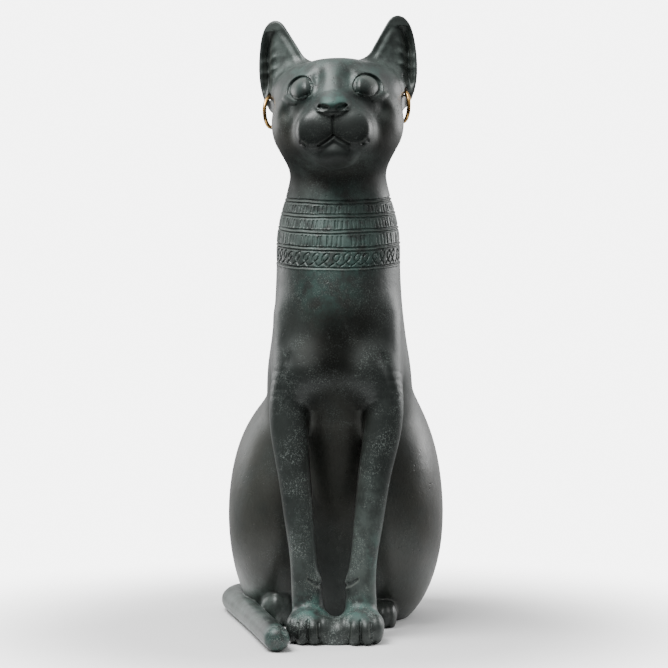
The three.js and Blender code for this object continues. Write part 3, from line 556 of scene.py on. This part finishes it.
def muscles(x, y, z):
    side = np.abs(x)
    d = 0.1 * stroke(side, z, SHOULDER) + 0.3 * swell(side, y, z, *ARMPIT)
    leg = np.abs(x - WRIST_LEAN)
    d = d + 0.34 * stroke(leg, z, WRIST_FOLD) - 0.3 * swell(leg, y, z, *WRIST_BONE)
    toes = sum(stroke(side, z, line) for line in TOE_LINES)
    return np.where(y < trunk_front(np.maximum(z, 30)) + 4, d, 0) + np.where(y < -15.5, 0.16 * toes, 0)

# %% The whole figure. Each part is worked out only near itself.
def near(d, where, shape, width, x, y, z):
    i = np.flatnonzero(where)
    d[i] = join(d[i], shape(x[i], y[i], z[i]), width)

def form(x, y, z):
    d = trunk(x, y, z)
    near(d, z < 48, haunch, 4, x, y, z)
    near(d, z < 60, foreleg, 2.2, x, y, z)
    low = z < 12
    for shape, width in ((forepaw, 1), (web, 0.8), (wrist_pad, 0.6), (hind_feet, 0.6), (tail, 0.4)):
        near(d, low, shape, width, x, y, z)
    near(d, (z > 34) & (z < 60), chest, 3, x, y, z)
    near(d, z > 68, skull, 2.5, x, y, z)
    return d

def skull(x, y, z):
    across, deep, up = head_place(x, y, z)
    across = np.abs(across)
    return join(face(across, deep, up), ear(across, deep, up), 2.2)

# %% The carved figure: the form with its engraving and its holes, cut flat at the ground
COLLAR_FROM, COLLAR_TO, MUSCLES_TO = 55, 75, 52

def carved(x, y, z):
    d = form(x, y, z)
    i = np.flatnonzero((z > COLLAR_FROM) & (z < COLLAR_TO) & (np.abs(d) < 1.5))
    d[i] += collar(x[i], y[i], z[i])
    i = np.flatnonzero((z < MUSCLES_TO) & (y < 2) & (np.abs(d) < 3))
    d[i] += muscles(x[i], y[i], z[i])
    i = np.flatnonzero((z > 80) & (np.abs(x) > 9))
    for hole in EAR_HOLES.values():
        d[i] = np.maximum(d[i], -ring_hole(x[i], y[i], z[i], hole))
    return np.maximum(d, -z)

# %% [markdown]
# Space is now cut into little boxes, close together at the face and the collar and wider apart on the
# smooth back. Blender has a Remesh modifier that does this too, but with one size for the whole object.
# Most boxes are far from the surface, so whole blocks of them are skipped after one question each.

# %% Lines of the grid: ends and steps, in hundredths of the height
FINE = 0.15

def grid_lines(start, *stretches):
    lines = [np.array([start])]
    for end, step in stretches:
        last = lines[-1][-1]
        count = max(1, round((end - last) / step))
        lines.append(np.linspace(last, end, count + 1)[1:])
    return np.concatenate(lines)

xs = grid_lines(-22, (-13.5, 2 * FINE), (13.5, FINE), (18.6, 2.4 * FINE))
ys = grid_lines(-28.5, (-22, 2 * FINE), (9, FINE), (28.8, 2.4 * FINE))
zs = grid_lines(-1, (8, 1.6 * FINE), (58, 2.4 * FINE), (72.4, 0.95 * FINE), (76, 1.6 * FINE), (94, FINE),
                (101.5, 1.4 * FINE))
print("grid of", len(xs), "x", len(ys), "x", len(zs), "lines")

# %% Distances at the grid's corners near the surface
BLOCK = 6

def in_parts(function, x, y, z, size=400000):
    parts = [slice(i, i + size) for i in range(0, len(x), size)]
    return np.concatenate([function(x[part], y[part], z[part]) for part in parts])

def middles(lines):
    ends = np.minimum(np.arange(0, len(lines) - 1, BLOCK) + BLOCK, len(lines) - 1)
    starts = np.arange(0, len(lines) - 1, BLOCK)
    return (lines[starts] + lines[ends]) / 2, lines[ends] - lines[starts]

(mx, wx), (my, wy), (mz, wz) = middles(xs), middles(ys), middles(zs)
X, Y, Z = (a.ravel() for a in np.meshgrid(mx, my, mz, indexing="ij"))
WX, WY, WZ = (a.ravel() for a in np.meshgrid(wx, wy, wz, indexing="ij"))
kept = np.abs(in_parts(carved, X, Y, Z)) < 0.75 * length(WX, WY, WZ) + 0.5
cells = kept.reshape(len(mx), len(my), len(mz))
for axis in range(3):
    cells = np.repeat(cells, BLOCK, axis)
cells = cells[:len(xs) - 1, :len(ys) - 1, :len(zs) - 1]
corners = np.zeros((len(xs), len(ys), len(zs)), bool)
CORNERS = [(a, b, c) for a in (0, 1) for b in (0, 1) for c in (0, 1)]

def shifted(array, a, b, c):
    nx, ny, nz = len(xs) - 1, len(ys) - 1, len(zs) - 1
    return array[a:a + nx, b:b + ny, c:c + nz]

for a, b, c in CORNERS:
    shifted(corners, a, b, c)[...] |= cells
i, j, k = np.nonzero(corners)
values = np.full(corners.shape, np.nan, np.float32)
values[i, j, k] = in_parts(carved, xs[i], ys[j], zs[k])
print(f"{len(i):,} corners worked out of {corners.size:,}")

# %% [markdown]
# A box whose corners lie on both sides of the surface gets one vertex, at the middle of the places where
# its edges cross the surface. Every grid edge that crosses it joins the four boxes around it with a
# quad. This is called surface nets, and its faces are more even than those of marching cubes.

# %% One vertex in every box that the surface crosses
inside = values < 0
count = sum(shifted(inside, *corner).astype(np.uint8) for corner in CORNERS)
cells &= (count > 0) & (count < 8)
number = np.full(cells.shape, -1, np.int32)
ci, cj, ck = np.nonzero(cells)
number[ci, cj, ck] = np.arange(len(ci))

total = np.zeros((len(ci), 3))
crossed = np.zeros(len(ci))
for p in CORNERS:
    for axis in range(3):
        if p[axis]:
            continue
        q = tuple(1 if n == axis else p[n] for n in range(3))
        at_p, at_q = (values[ci + c[0], cj + c[1], ck + c[2]].astype(float) for c in (p, q))
        hit = (at_p < 0) != (at_q < 0)
        t = np.where(hit, at_p / np.where(hit, at_p - at_q, 1), 0)
        place = [lines[n + c] for lines, n, c in zip((xs, ys, zs), (ci, cj, ck), p)]
        end = (xs, ys, zs)[axis][(ci, cj, ck)[axis] + 1]
        place[axis] = place[axis] + t * (end - place[axis])
        total += np.stack(place, 1) * hit[:, None]
        crossed += hit
points = total / crossed[:, None]
print(f"{len(points):,} vertices")

# %% A quad around every grid edge that crosses the surface
def quads_along(axis):
    one, other = [n for n in range(3) if n != axis]
    ahead = [slice(None)] * 3
    behind = [slice(None)] * 3
    ahead[axis], behind[axis] = slice(1, None), slice(None, -1)
    known = corners[tuple(ahead)] & corners[tuple(behind)]
    enters = inside[tuple(behind)] & ~inside[tuple(ahead)] & known
    leaves = ~inside[tuple(behind)] & inside[tuple(ahead)] & known
    found = []
    for crossing, turned in ((enters, axis == 1), (leaves, axis != 1)):
        at = list(np.nonzero(crossing))
        around = []
        for du, dv in ((1, 1), (0, 1), (0, 0), (1, 0)):
            cell = list(at)
            cell[one], cell[other] = cell[one] - du, cell[other] - dv
            around.append(number[tuple(cell)])
        ring = np.stack(around, 1)
        found.append(ring[:, ::-1] if turned else ring)
    return np.concatenate(found)

quads = np.concatenate([quads_along(axis) for axis in range(3)])
quads = quads[(quads >= 0).all(1)]
print(f"{len(quads):,} quads")

# %% [markdown]
# Nearly half a million faces are too many. Blender's Decimate modifier draws together the edges whose
# loss changes the shape least, so flat metal gets large faces and the engraving keeps its small ones.
# After it, every vertex steps back onto the exact surface along the slope of the distance.

# %% The mesh of the casting, with fewer faces
FACES = 190000

def mesh_object(name, vertices, faces):
    mesh = bpy.data.meshes.new(name)
    mesh.vertices.add(len(vertices))
    mesh.vertices.foreach_set("co", vertices.astype(np.float32).ravel())
    size = faces.shape[1]
    mesh.loops.add(faces.size)
    mesh.loops.foreach_set("vertex_index", faces.astype(np.int32).ravel())
    mesh.polygons.add(len(faces))
    mesh.polygons.foreach_set("loop_start", np.arange(0, faces.size, size, dtype=np.int32))
    mesh.update(calc_edges=True)
    mesh.validate()
    obj = bpy.data.objects.new(name, mesh)
    bpy.context.scene.collection.objects.link(obj)
    return obj

def apply_modifiers(obj):
    made = bpy.data.meshes.new_from_object(obj.evaluated_get(bpy.context.evaluated_depsgraph_get()))
    obj.modifiers.clear()
    old, obj.data = obj.data, made
    made.name = obj.name
    bpy.data.meshes.remove(old)

triangles = np.concatenate([quads[:, [0, 1, 2]], quads[:, [0, 2, 3]]])
casting = mesh_object("casting", points, triangles)
fewer = casting.modifiers.new("fewer faces", "DECIMATE")
fewer.ratio = min(1, FACES / len(triangles))
apply_modifiers(casting)
print(f"{len(triangles):,} triangles became {len(casting.data.polygons):,}")

# %% Back onto the exact surface, and the slope there
def places(obj):
    co = np.zeros(len(obj.data.vertices) * 3, np.float32)
    obj.data.vertices.foreach_get("co", co)
    return co.reshape(-1, 3).astype(float)

def slope(function, p, step=0.03):
    x, y, z = p.T
    tips = [(1, 1, 1), (1, -1, -1), (-1, 1, -1), (-1, -1, 1)]
    found = [in_parts(function, x + a * step, y + b * step, z + c * step) for a, b, c in tips]
    return sum(f[:, None] * np.array(tip) for f, tip in zip(found, tips)) / (4 * step), sum(found) / 4

skin = places(casting)
for turn in range(2):
    direction, distance = slope(carved, skin)
    steep = (direction ** 2).sum(1)
    move = direction * (distance / np.maximum(steep, 0.2))[:, None]
    size = np.linalg.norm(move, axis=1, keepdims=True)
    skin -= move * np.minimum(1, 0.12 / np.maximum(size, 1e-9))
    print(f"step {turn}: the vertices moved {size.mean() * SHARE * 1e6:.1f} micrometres on average")
skin[:, 2] = np.maximum(skin[:, 2], 0)
direction, distance = slope(carved, skin)
normals = direction / np.linalg.norm(direction, axis=1, keepdims=True)

# %% [markdown]
# The distances also tell how hollow a place is: a step outwards from a ridge leaves the metal quickly,
# and one from the bottom of a groove doesn't. Dust stays in hollows and sharp ridges are made paler, so
# this value is kept on the vertices for the patina. The normals are set from the slope of the distance
# itself, which shades the small faces as one smooth casting.

# %% How hollow each place is, for the dust and the paler ridges
STEP_OUT = 0.25
x, y, z = (skin + normals * STEP_OUT).T
hollow = np.clip(1 - in_parts(carved, x, y, z) / STEP_OUT, -1, 1)
print(f"hollows from {hollow.min():.2f} on edges to {hollow.max():.2f} in grooves")

# %% Places in metres, smooth shading and the hollow value
metres = skin * SHARE + np.array([ACROSS, DEEP, 0])
mesh = casting.data
mesh.vertices.foreach_set("co", metres.astype(np.float32).ravel())
mesh.shade_smooth()
mesh.attributes.new("hollow", "FLOAT", "POINT").data.foreach_set("value", hollow.astype(np.float32))
mesh.normals_split_custom_set_from_vertices(normals.astype(np.float32))
mesh.update()
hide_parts("cat")
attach(casting, "root")
for end, corner in (("lowest", metres.min(0)), ("highest", metres.max(0))):
    print("casting,", end, "corner in mm:", [round(v * 1000, 2) for v in corner])

# %% [markdown]
# The gold rings are round wire. Blender's torus has that shape, but a perfect one looks turned on a
# lathe. Here the wire is drawn as small circles of points along a big one. It is a little uneven, as
# wire bent by hand is, and narrower where its two ends meet. A ring hangs from its hole through the
# lobe and is turned with the ear.

# %% Gold rings
REST_GAP = 0.0003 / SHARE
RING_STEPS, WIRE_STEPS = 96, 20
ENDS_MEET = 4.4                 # where along the ring the ends of the wire meet, in radians

def make_ring(name, hole, seed):
    swing = math.copysign(EARRING_TURN, hole[0])
    wear = np.random.default_rng(seed)
    axis = np.array([math.cos(swing), math.sin(swing), 0])
    side = np.array([-math.sin(swing), math.cos(swing), 0])
    middle = np.array(hole) - np.array([0, 0, RING_RADIUS + WIRE_CLEARANCE - REST_GAP])
    turn = np.linspace(0, 2 * np.pi, RING_STEPS, endpoint=False)
    around = np.linspace(0, 2 * np.pi, WIRE_STEPS, endpoint=False)
    dents = sum(0.006 * np.sin(n * turn + wear.uniform(0, 6)) for n in (3, 5, 8))
    wire = EARRING_WIRE / 2 * (0.97 + dents - 0.07 * np.exp(-((turn - ENDS_MEET) / 0.05) ** 2))
    out = side[None] * np.cos(turn)[:, None] + np.array([0, 0, 1.0])[None] * np.sin(turn)[:, None]
    reach = RING_RADIUS + wire[:, None] * np.cos(around)[None]
    aside = wire[:, None] * np.sin(around)[None]
    rows = middle + out[:, None] * reach[..., None] + axis * aside[..., None]
    a = np.arange(RING_STEPS)[:, None] * WIRE_STEPS + np.arange(WIRE_STEPS)[None]
    b, c = np.roll(a, -1, 0), np.roll(np.roll(a, -1, 0), -1, 1)
    faces = np.stack([a, b, c, np.roll(a, -1, 1)], -1).reshape(-1, 4)[:, ::-1]
    ring = mesh_object(name, rows.reshape(-1, 3) * SHARE + np.array([ACROSS, DEEP, 0]), faces)
    ring.data.shade_smooth()
    return ring

rings = {}
for node, hole in EAR_HOLES.items():
    rings[node] = make_ring(node + "_gold", hole, 3)
    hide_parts(node)
    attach(rings[node], "root")
    print(node, "spans", [round(v * 1000, 1) for v in rings[node].dimensions], "mm")

# %% [markdown]
# ## The finish
# The bronze is nearly black with a green cast, satin rather than shiny. It could be painted on an image
# wrapped around the figure; here it is built up in the order in which it came about, as nodes. The dark
# patina changes slowly in tone. Verdigris sits on the collar, the nose and the paws, pale specks on the
# legs. Shade is painted darker into sheltered places, a pale bloom that is partly painted light lies on
# open ones, dust fills the grooves and sharp ridges are paler. Each layer is a mask, mixed over the one
# before. Everything hangs on object coordinates, so the finish stays on the metal whatever the camera does.

# %% Helpers for building a node material
def new_material(name):
    material = bpy.data.materials.new(name)
    material.use_nodes = True
    tree = material.node_tree
    return material, tree, tree.nodes["Principled BSDF"]

def add_node(tree, kind, inputs=None, **settings):
    node = tree.nodes.new(kind)
    for key, value in settings.items():
        setattr(node, key, value)
    for key, value in (inputs or {}).items():
        if isinstance(value, bpy.types.NodeSocket):
            tree.links.new(value, node.inputs[key])
        else:
            node.inputs[key].default_value = value
    return node

def math_node(tree, operation, a, b=0.0, clamp=False):
    return add_node(tree, "ShaderNodeMath", {0: a, 1: b}, operation=operation, use_clamp=clamp).outputs[0]

def span(tree, value, low, high, to_low=0.0, to_high=1.0):
    return add_node(tree, "ShaderNodeMapRange", {"Value": value, "From Min": low, "From Max": high,
                    "To Min": to_low, "To Max": to_high}, interpolation_type="SMOOTHSTEP").outputs["Result"]

def noise(tree, where, scale, detail=3.0, roughness=0.5, distortion=0.0):
    return add_node(tree, "ShaderNodeTexNoise", {"Vector": where, "Scale": scale, "Detail": detail,
                    "Roughness": roughness, "Distortion": distortion}).outputs["Fac"]

def mix_colour(tree, share, under, over):
    node = add_node(tree, "ShaderNodeMix", data_type="RGBA")
    for socket, value in ((node.inputs[0], share), (node.inputs[6], under), (node.inputs[7], over)):
        if isinstance(value, bpy.types.NodeSocket):
            tree.links.new(value, socket)
        else:
            socket.default_value = value
    return node.outputs[2]

# %% Dark patina with slow changes of tone
DARK, LESS_DARK = (0.018, 0.023, 0.021, 1), (0.034, 0.042, 0.038, 1)

bronze, tree, metal = new_material("patinated_bronze")
where = add_node(tree, "ShaderNodeTexCoord").outputs["Object"]
along = add_node(tree, "ShaderNodeSeparateXYZ", {0: where}).outputs
in_hollow = add_node(tree, "ShaderNodeAttribute", attribute_name="hollow").outputs["Fac"]
slow = noise(tree, where, 22, 4, 0.55, 0.4)
colour = mix_colour(tree, span(tree, slow, 0.35, 0.68), DARK, LESS_DARK)

# %% [markdown]
# Stains, painted shade and painted light each have their place on the figure. A patch is full at its
# centre and fades to nothing on an egg around it, and noise breaks it up afterwards. `patches` takes the
# strongest of several.

# %% Patches: centre in hundredths of the height, three radii in metres, and force
def on_figure(x, y, z):
    return x * SHARE + ACROSS, y * SHARE + DEEP, z * SHARE

def patch(tree, centre, radii):
    near = add_node(tree, "ShaderNodeVectorMath", {0: where, 1: centre}, operation="SUBTRACT").outputs[0]
    near = add_node(tree, "ShaderNodeVectorMath", {0: near, 1: radii}, operation="DIVIDE").outputs[0]
    far = add_node(tree, "ShaderNodeVectorMath", {0: near}, operation="LENGTH").outputs["Value"]
    return span(tree, far, 0.25, 1.0, 1, 0)

def patches(tree, places):
    most = None
    for centre, radii, force in places:
        one = math_node(tree, "MULTIPLY", patch(tree, on_figure(*centre), radii), force)
        most = one if most is None else math_node(tree, "MAXIMUM", most, one)
    return most

# %% Warmer patina on the haunches, the belly, the cheeks and the throat
WARM = [
    ((-11, 8, 20), (0.04, 0.07, 0.075), 1.0), ((11, 8, 20), (0.04, 0.07, 0.075), 1.0),
    ((0, -8, 30), (0.03, 0.03, 0.08), 0.9), ((0, -15, 49), (0.03, 0.03, 0.03), 0.5),
    ((-8, -10, 81), (0.022, 0.035, 0.02), 0.8), ((8, -10, 81), (0.022, 0.035, 0.02), 0.8),
    ((0, -12, 74), (0.04, 0.03, 0.012), 0.6),
]
WARM_BROWN = (0.037, 0.036, 0.029, 1)

broken = span(tree, noise(tree, where, 60, 3, 0.6), 0.3, 0.6, 0.35, 1)
warm = math_node(tree, "MULTIPLY", patches(tree, WARM), broken)
colour = mix_colour(tree, warm, colour, WARM_BROWN)
print("patina:", len(tree.nodes), "nodes so far")

# %% Verdigris on the collar's middle, the nose and the tops of the paws
VERDIGRIS = [
    ((1.5, -16, 65), (0.028, 0.03, 0.03), 1.0), ((-1, -15, 57), (0.022, 0.03, 0.028), 0.45),
    ((0, -21, 84.9), (0.009, 0.014, 0.006), 0.8), ((-4, -17, 4.8), (0.012, 0.014, 0.01), 1.0),
    ((4, -17, 4.8), (0.012, 0.014, 0.01), 0.9), ((6.2, -15, 13), (0.005, 0.012, 0.014), 0.8),
    ((-8, -26, 2.6), (0.012, 0.012, 0.012), 0.5), ((0, -14, 88), (0.04, 0.03, 0.03), 0.25),
    ((7.4, -15, 90.5), (0.012, 0.02, 0.008), 0.5), ((-7.4, -15, 90.5), (0.012, 0.02, 0.008), 0.5),
]
TURQUOISE = (0.045, 0.13, 0.11, 1)

green = patches(tree, VERDIGRIS)
mottle = noise(tree, where, 160, 5, 0.65)
green = math_node(tree, "MULTIPLY", green, span(tree, mottle, 0.36, 0.62))
colour = mix_colour(tree, math_node(tree, "MULTIPLY", green, 0.75), colour, TURQUOISE)
print("verdigris in", len(VERDIGRIS), "places")

# %% Pale specks, closer together low down and in front
PALE = (0.36, 0.42, 0.39, 1)

speck = span(tree, noise(tree, where, 1700, 2, 0.8), 0.53, 0.64)
cluster = span(tree, noise(tree, where, 75, 4, 0.65), 0.4, 0.66)
low_down = span(tree, along["Z"], 0.2, 0.02, 0.3, 1)
in_front = span(tree, along["Y"], -0.026, -0.034, 0.15, 1)
where_specks = math_node(tree, "MULTIPLY", math_node(tree, "MULTIPLY", cluster, low_down), in_front)
specks = math_node(tree, "MULTIPLY", speck, where_specks)
colour = mix_colour(tree, math_node(tree, "MULTIPLY", specks, 0.65), colour, PALE)
print("with specks:", len(tree.nodes), "nodes")

# %% Painted shade in sheltered places, and a pale bloom that is partly painted light
# Pale bloom, partly the patina's own and partly painted light: paler on the collar, the forehead, the tail,
# the legs, the ears and under the jaw.
BLOOM_AND_PAINTED_LIGHT = [
    ((0, -10, 66), (0.05, 0.06, 0.024), 1.0), ((0, -14, 90), (0.035, 0.04, 0.02), 0.2),
    ((-15, 0, 2.5), (0.03, 0.09, 0.02), 1.0),
    ((-5.2, -15, 14), (0.012, 0.014, 0.04), 0.35), ((5.2, -15, 15), (0.013, 0.014, 0.055), 0.65),
    ((-9, -4, 94), (0.016, 0.03, 0.024), 1.0), ((9, -4, 94), (0.016, 0.03, 0.024), 0.9),
    ((-4.4, -13, 75.8), (0.016, 0.03, 0.008), 0.8), ((3.2, -13, 76.3), (0.016, 0.03, 0.008), 0.8),
]
# Painted shade: near-black where shade falls, on the belly, under and between the chest lobes, under the
# nose, at the fronts of the paws and on the left of the neck.
PAINTED_SHADE = [
    ((0.2, -9, 26), (0.026, 0.02, 0.06), 1.0), ((0, -12, 37.5), (0.024, 0.02, 0.022), 0.9),
    ((0, -17, 46), (0.014, 0.02, 0.026), 0.8), ((3, -17, 50), (0.02, 0.02, 0.012), 0.5),
    ((0, -18, 80), (0.02, 0.014, 0.012), 0.6), ((-4, -20, 1.6), (0.013, 0.01, 0.008), 0.6),
    ((4, -20, 1.6), (0.013, 0.01, 0.008), 0.5), ((-8.4, -11, 74), (0.012, 0.04, 0.016), 0.8),
]
PAINTED_SHADE_BLACK, BLOOM_AND_LIGHT_GREY_GREEN = (0.012, 0.0125, 0.011, 1), (0.13, 0.165, 0.15, 1)

painted_shade = patches(tree, PAINTED_SHADE)
colour = mix_colour(tree, math_node(tree, "MULTIPLY", painted_shade, 0.75), colour, PAINTED_SHADE_BLACK)
bloom_and_painted_light = math_node(tree, "MULTIPLY", patches(tree, BLOOM_AND_PAINTED_LIGHT), span(tree, mottle, 0.35, 0.62, 0.2, 1))
colour = mix_colour(tree, math_node(tree, "MULTIPLY", bloom_and_painted_light, 0.55), colour, BLOOM_AND_LIGHT_GREY_GREEN)
print("dark in", len(PAINTED_SHADE), "places, pale in", len(BLOOM_AND_PAINTED_LIGHT))

# %% Dust in the grooves, and paler sharp ridges
DUST, PALE_RIDGE = (0.14, 0.16, 0.145, 1), (0.12, 0.135, 0.12, 1)

dust = math_node(tree, "MULTIPLY", span(tree, in_hollow, 0.15, 0.7), span(tree, mottle, 0.45, 0.75))
colour = mix_colour(tree, math_node(tree, "MULTIPLY", dust, 0.3), colour, DUST)
# Sharp ridges, where the hollow value is below nought, are made a paler grey-green.
paler_ridges = span(tree, in_hollow, -0.05, -0.45, 0, 1)
colour = mix_colour(tree, math_node(tree, "MULTIPLY", paler_ridges, 0.45), colour, PALE_RIDGE)
tree.links.new(colour, metal.inputs["Base Color"])
print("the whole colour:", len(tree.nodes), "nodes")

# %% [markdown]
# Gloss says as much about old metal as colour does. The patina is satin. Verdigris and specks are
# powdery, so they are duller, and so are the neck and the chest. A patina also reflects like a coat of
# varnish, pale whatever its own colour is. Where shade is painted, the shader is made more metallic, so
# that the painted dark colour darkens the reflection too: painted shade in the gloss as well.

# %% Gloss: satin metal, duller where verdigris and specks lie and in some places
MATT = [
    ((0, -6, 76), (0.06, 0.06, 0.02), 0.35), ((0, -16, 45), (0.035, 0.03, 0.035), 0.1),
    ((-4.4, -17, 46.5), (0.016, 0.03, 0.014), 0.35), ((-9.5, -6, 71), (0.012, 0.04, 0.03), 0.3),
]
dull = math_node(tree, "ADD", span(tree, slow, 0.3, 0.7, 0.36, 0.47), math_node(tree, "MULTIPLY", green, 0.2))
dull = math_node(tree, "ADD", dull, math_node(tree, "MULTIPLY", specks, 0.25))
dull = math_node(tree, "ADD", dull, patches(tree, MATT), clamp=True)
tree.links.new(dull, metal.inputs["Roughness"])
# More metallic where shade is painted, so that the reflection there is darkened too: painted shade.
tree.links.new(span(tree, painted_shade, 0, 1, 0.2, 0.85), metal.inputs["Metallic"])
metal.inputs["Specular IOR Level"].default_value = 0.5
print("duller in", len(MATT), "places")

# %% Cast grain, small pits and slow waves, in metres of real height
GRAIN, PIT_DEPTH, WAVE = 0.00006, 0.00018, 0.0003

grain = noise(tree, where, 1400, 3, 0.6)
pits = add_node(tree, "ShaderNodeTexVoronoi", {"Vector": where, "Scale": 420.0, "Randomness": 1.0},
                feature="F1").outputs["Distance"]
some_places = span(tree, noise(tree, where, 90, 3), 0.5, 0.66)
pit_here = math_node(tree, "MULTIPLY", span(tree, pits, 0.22, 0.1), some_places)
relief = math_node(tree, "SUBTRACT", math_node(tree, "MULTIPLY", grain, GRAIN),
                   math_node(tree, "MULTIPLY", pit_here, PIT_DEPTH))
wave = math_node(tree, "MULTIPLY", noise(tree, where, 120, 3, 0.5), WAVE)
relief = math_node(tree, "ADD", relief, wave)
bump = add_node(tree, "ShaderNodeBump", {"Height": relief, "Strength": 0.8, "Distance": 1.0}).outputs[0]
tree.links.new(bump, metal.inputs["Normal"])
casting.data.materials.clear()
casting.data.materials.append(bronze)
print("bronze:", len(tree.nodes), "nodes")

# %% [markdown]
# The rings are worn gold: warm, mirror-like where they rub, with fine scratches and darker tarnish in
# patches. Gold is a pure metal, so its colour sits in the reflection and the shader is fully metallic.

# %% Worn gold
BRIGHT_GOLD, TARNISHED_GOLD = (0.72, 0.43, 0.15, 1), (0.34, 0.19, 0.07, 1)

gold, tree, metal = new_material("worn_gold")
where = add_node(tree, "ShaderNodeTexCoord").outputs["Object"]
tarnish = span(tree, noise(tree, where, 260, 4, 0.6), 0.45, 0.72)
share = math_node(tree, "MULTIPLY", tarnish, 0.55)
tree.links.new(mix_colour(tree, share, BRIGHT_GOLD, TARNISHED_GOLD), metal.inputs["Base Color"])
tree.links.new(span(tree, tarnish, 0, 1, 0.22, 0.42), metal.inputs["Roughness"])
metal.inputs["Metallic"].default_value = 1.0
scratch = math_node(tree, "MULTIPLY", noise(tree, where, 2600, 2, 0.7), 0.00002)
bump = add_node(tree, "ShaderNodeBump", {"Height": scratch, "Strength": 0.7, "Distance": 1.0}).outputs[0]
tree.links.new(bump, metal.inputs["Normal"])
for ring in rings.values():
    ring.data.materials.clear()
    ring.data.materials.append(gold)
print("gold:", len(tree.nodes), "nodes")

# %% [markdown]
# ## The set
# Dark satin metal is drawn by what it reflects, so the set is mostly light. The figure stands on a white
# sheet. A photographer bends the sheet up behind it, so that no horizon shows. This one is flat, turns
# see-through a short way from the figure, and leaves the rest to the pale surroundings.

# %% Floor: a round white sheet that fades out, so that no horizon shows
FLOOR_RADIUS = 0.75
FADE_FROM, FADE_TO = 0.09, 0.26
floor_mesh = bpy.data.meshes.new("floor")
sheet = bmesh.new()
bmesh.ops.create_circle(sheet, cap_ends=True, segments=96, radius=FLOOR_RADIUS)
sheet.to_mesh(floor_mesh)
sheet.free()
floor = bpy.data.objects.new("floor", floor_mesh)
bpy.context.scene.collection.objects.link(floor)
paper, tree, sheet_shader = new_material("white_paper")
where = add_node(tree, "ShaderNodeTexCoord").outputs["Object"]
tone = span(tree, noise(tree, where, 3, 2), 0.3, 0.7)
white = mix_colour(tree, tone, (0.89, 0.89, 0.89, 1), (0.91, 0.91, 0.91, 1))
tree.links.new(white, sheet_shader.inputs["Base Color"])
sheet_shader.inputs["Roughness"].default_value = 0.9
away = add_node(tree, "ShaderNodeVectorMath", {0: where}, operation="LENGTH").outputs["Value"]
tree.links.new(span(tree, away, FADE_FROM, FADE_TO, 1, 0), sheet_shader.inputs["Alpha"])
floor_mesh.materials.append(paper)
floor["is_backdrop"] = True
print(f"sheet of {2 * FLOOR_RADIUS} m, clear from {FADE_TO} m outwards")

# %% [markdown]
# The surroundings are bright behind and above, dim in front and dark below. The edges of the metal
# then catch pale rims, and its front keeps its depth. The camera itself sees a plain pale backdrop, which
# a light path node tells apart from what the metal reflects.

# %% Surroundings
BACKDROP = 6.0
FROM_FRONT, FROM_BEHIND, FROM_ABOVE = 0.19, 1.0, 0.6

world = bpy.data.worlds.new("studio")
bpy.context.scene.world = world
world.use_nodes = True
tree = world.node_tree
around = add_node(tree, "ShaderNodeTexCoord").outputs["Generated"]
side = add_node(tree, "ShaderNodeSeparateXYZ", {0: around}).outputs
light = span(tree, side["Y"], 0.35, 1.0, FROM_FRONT, FROM_BEHIND)
light = math_node(tree, "ADD", light, span(tree, side["Z"], 0.1, 0.9, 0.0, FROM_ABOVE))
light = math_node(tree, "MULTIPLY", light, span(tree, side["Z"], -0.45, 0.0, 0, 1))
seen = add_node(tree, "ShaderNodeLightPath").outputs["Is Camera Ray"]
strength = add_node(tree, "ShaderNodeMix", {0: seen, 2: light, 3: BACKDROP}, data_type="FLOAT").outputs[0]
tree.links.new(strength, tree.nodes["Background"].inputs["Strength"])
tree.nodes["Background"].inputs["Color"].default_value = (1, 1, 1, 1)
print(f"{FROM_BEHIND / FROM_FRONT:.1f} times as bright from behind as from the front")

# %% [markdown]
# One large softbox hangs above, in front and a little to the left, and gives the soft lights on the
# forehead, the collar and the paws. Two small ones stand behind at the sides and sharpen the edges.

# %% Lamps
MIDDLE = Vector((0, 0, HEIGHT / 2))

def lamp(name, place, watts, size):
    data = bpy.data.lights.new(name, "AREA")
    data.energy, data.size = watts, size
    obj = bpy.data.objects.new(name, data)
    obj.location = place
    obj.rotation_euler = (MIDDLE - Vector(place)).to_track_quat("-Z", "Y").to_euler()
    bpy.context.scene.collection.objects.link(obj)
    print(name, "of", watts, "W,", round(Vector(place).length, 2), "m away")

lamp("softbox_above", (-0.33, -0.3, 1.0), 17, 0.6)
lamp("softbox_left", (-0.7, 0.55, 0.35), 2, 0.4)
lamp("softbox_right", (0.7, 0.55, 0.35), 4, 0.4)

# %% [markdown]
# The camera is level with the chest and stands a little to the right of the middle. It is three heights
# of the figure away with a long lens, as for a portrait, so that the near paws don't look too large.

# %% Camera
CAMERA_AWAY = 0.840
CAMERA_HEIGHT = 0.1358
CAMERA_ACROSS = -0.0025
CAMERA_TURN = math.radians(2.4)
FOCAL_PIXELS, FRAME_PIXELS = 1797, 668

camera_data = bpy.data.cameras.new("camera")
camera = bpy.data.objects.new("camera", camera_data)
bpy.context.scene.collection.objects.link(camera)
bpy.context.scene.camera = camera
camera_data.sensor_width = 36
camera_data.lens = 36 * FOCAL_PIXELS / FRAME_PIXELS
camera_data.clip_start, camera_data.clip_end = 0.05, 50
back = Vector((math.sin(CAMERA_TURN), -math.cos(CAMERA_TURN), 0))
camera.location = Vector((CAMERA_ACROSS + ACROSS, DEEP, CAMERA_HEIGHT)) + back * CAMERA_AWAY
camera.rotation_euler = (-back).to_track_quat("-Z", "Y").to_euler()
print(f"camera {CAMERA_AWAY} m away, lens {camera_data.lens:.1f} mm")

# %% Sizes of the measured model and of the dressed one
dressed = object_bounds()
for name, box in (("measured", cad_box), ("dressed", dressed)):
    print(name, [[round(v * 1000, 2) for v in corner] for corner in box])
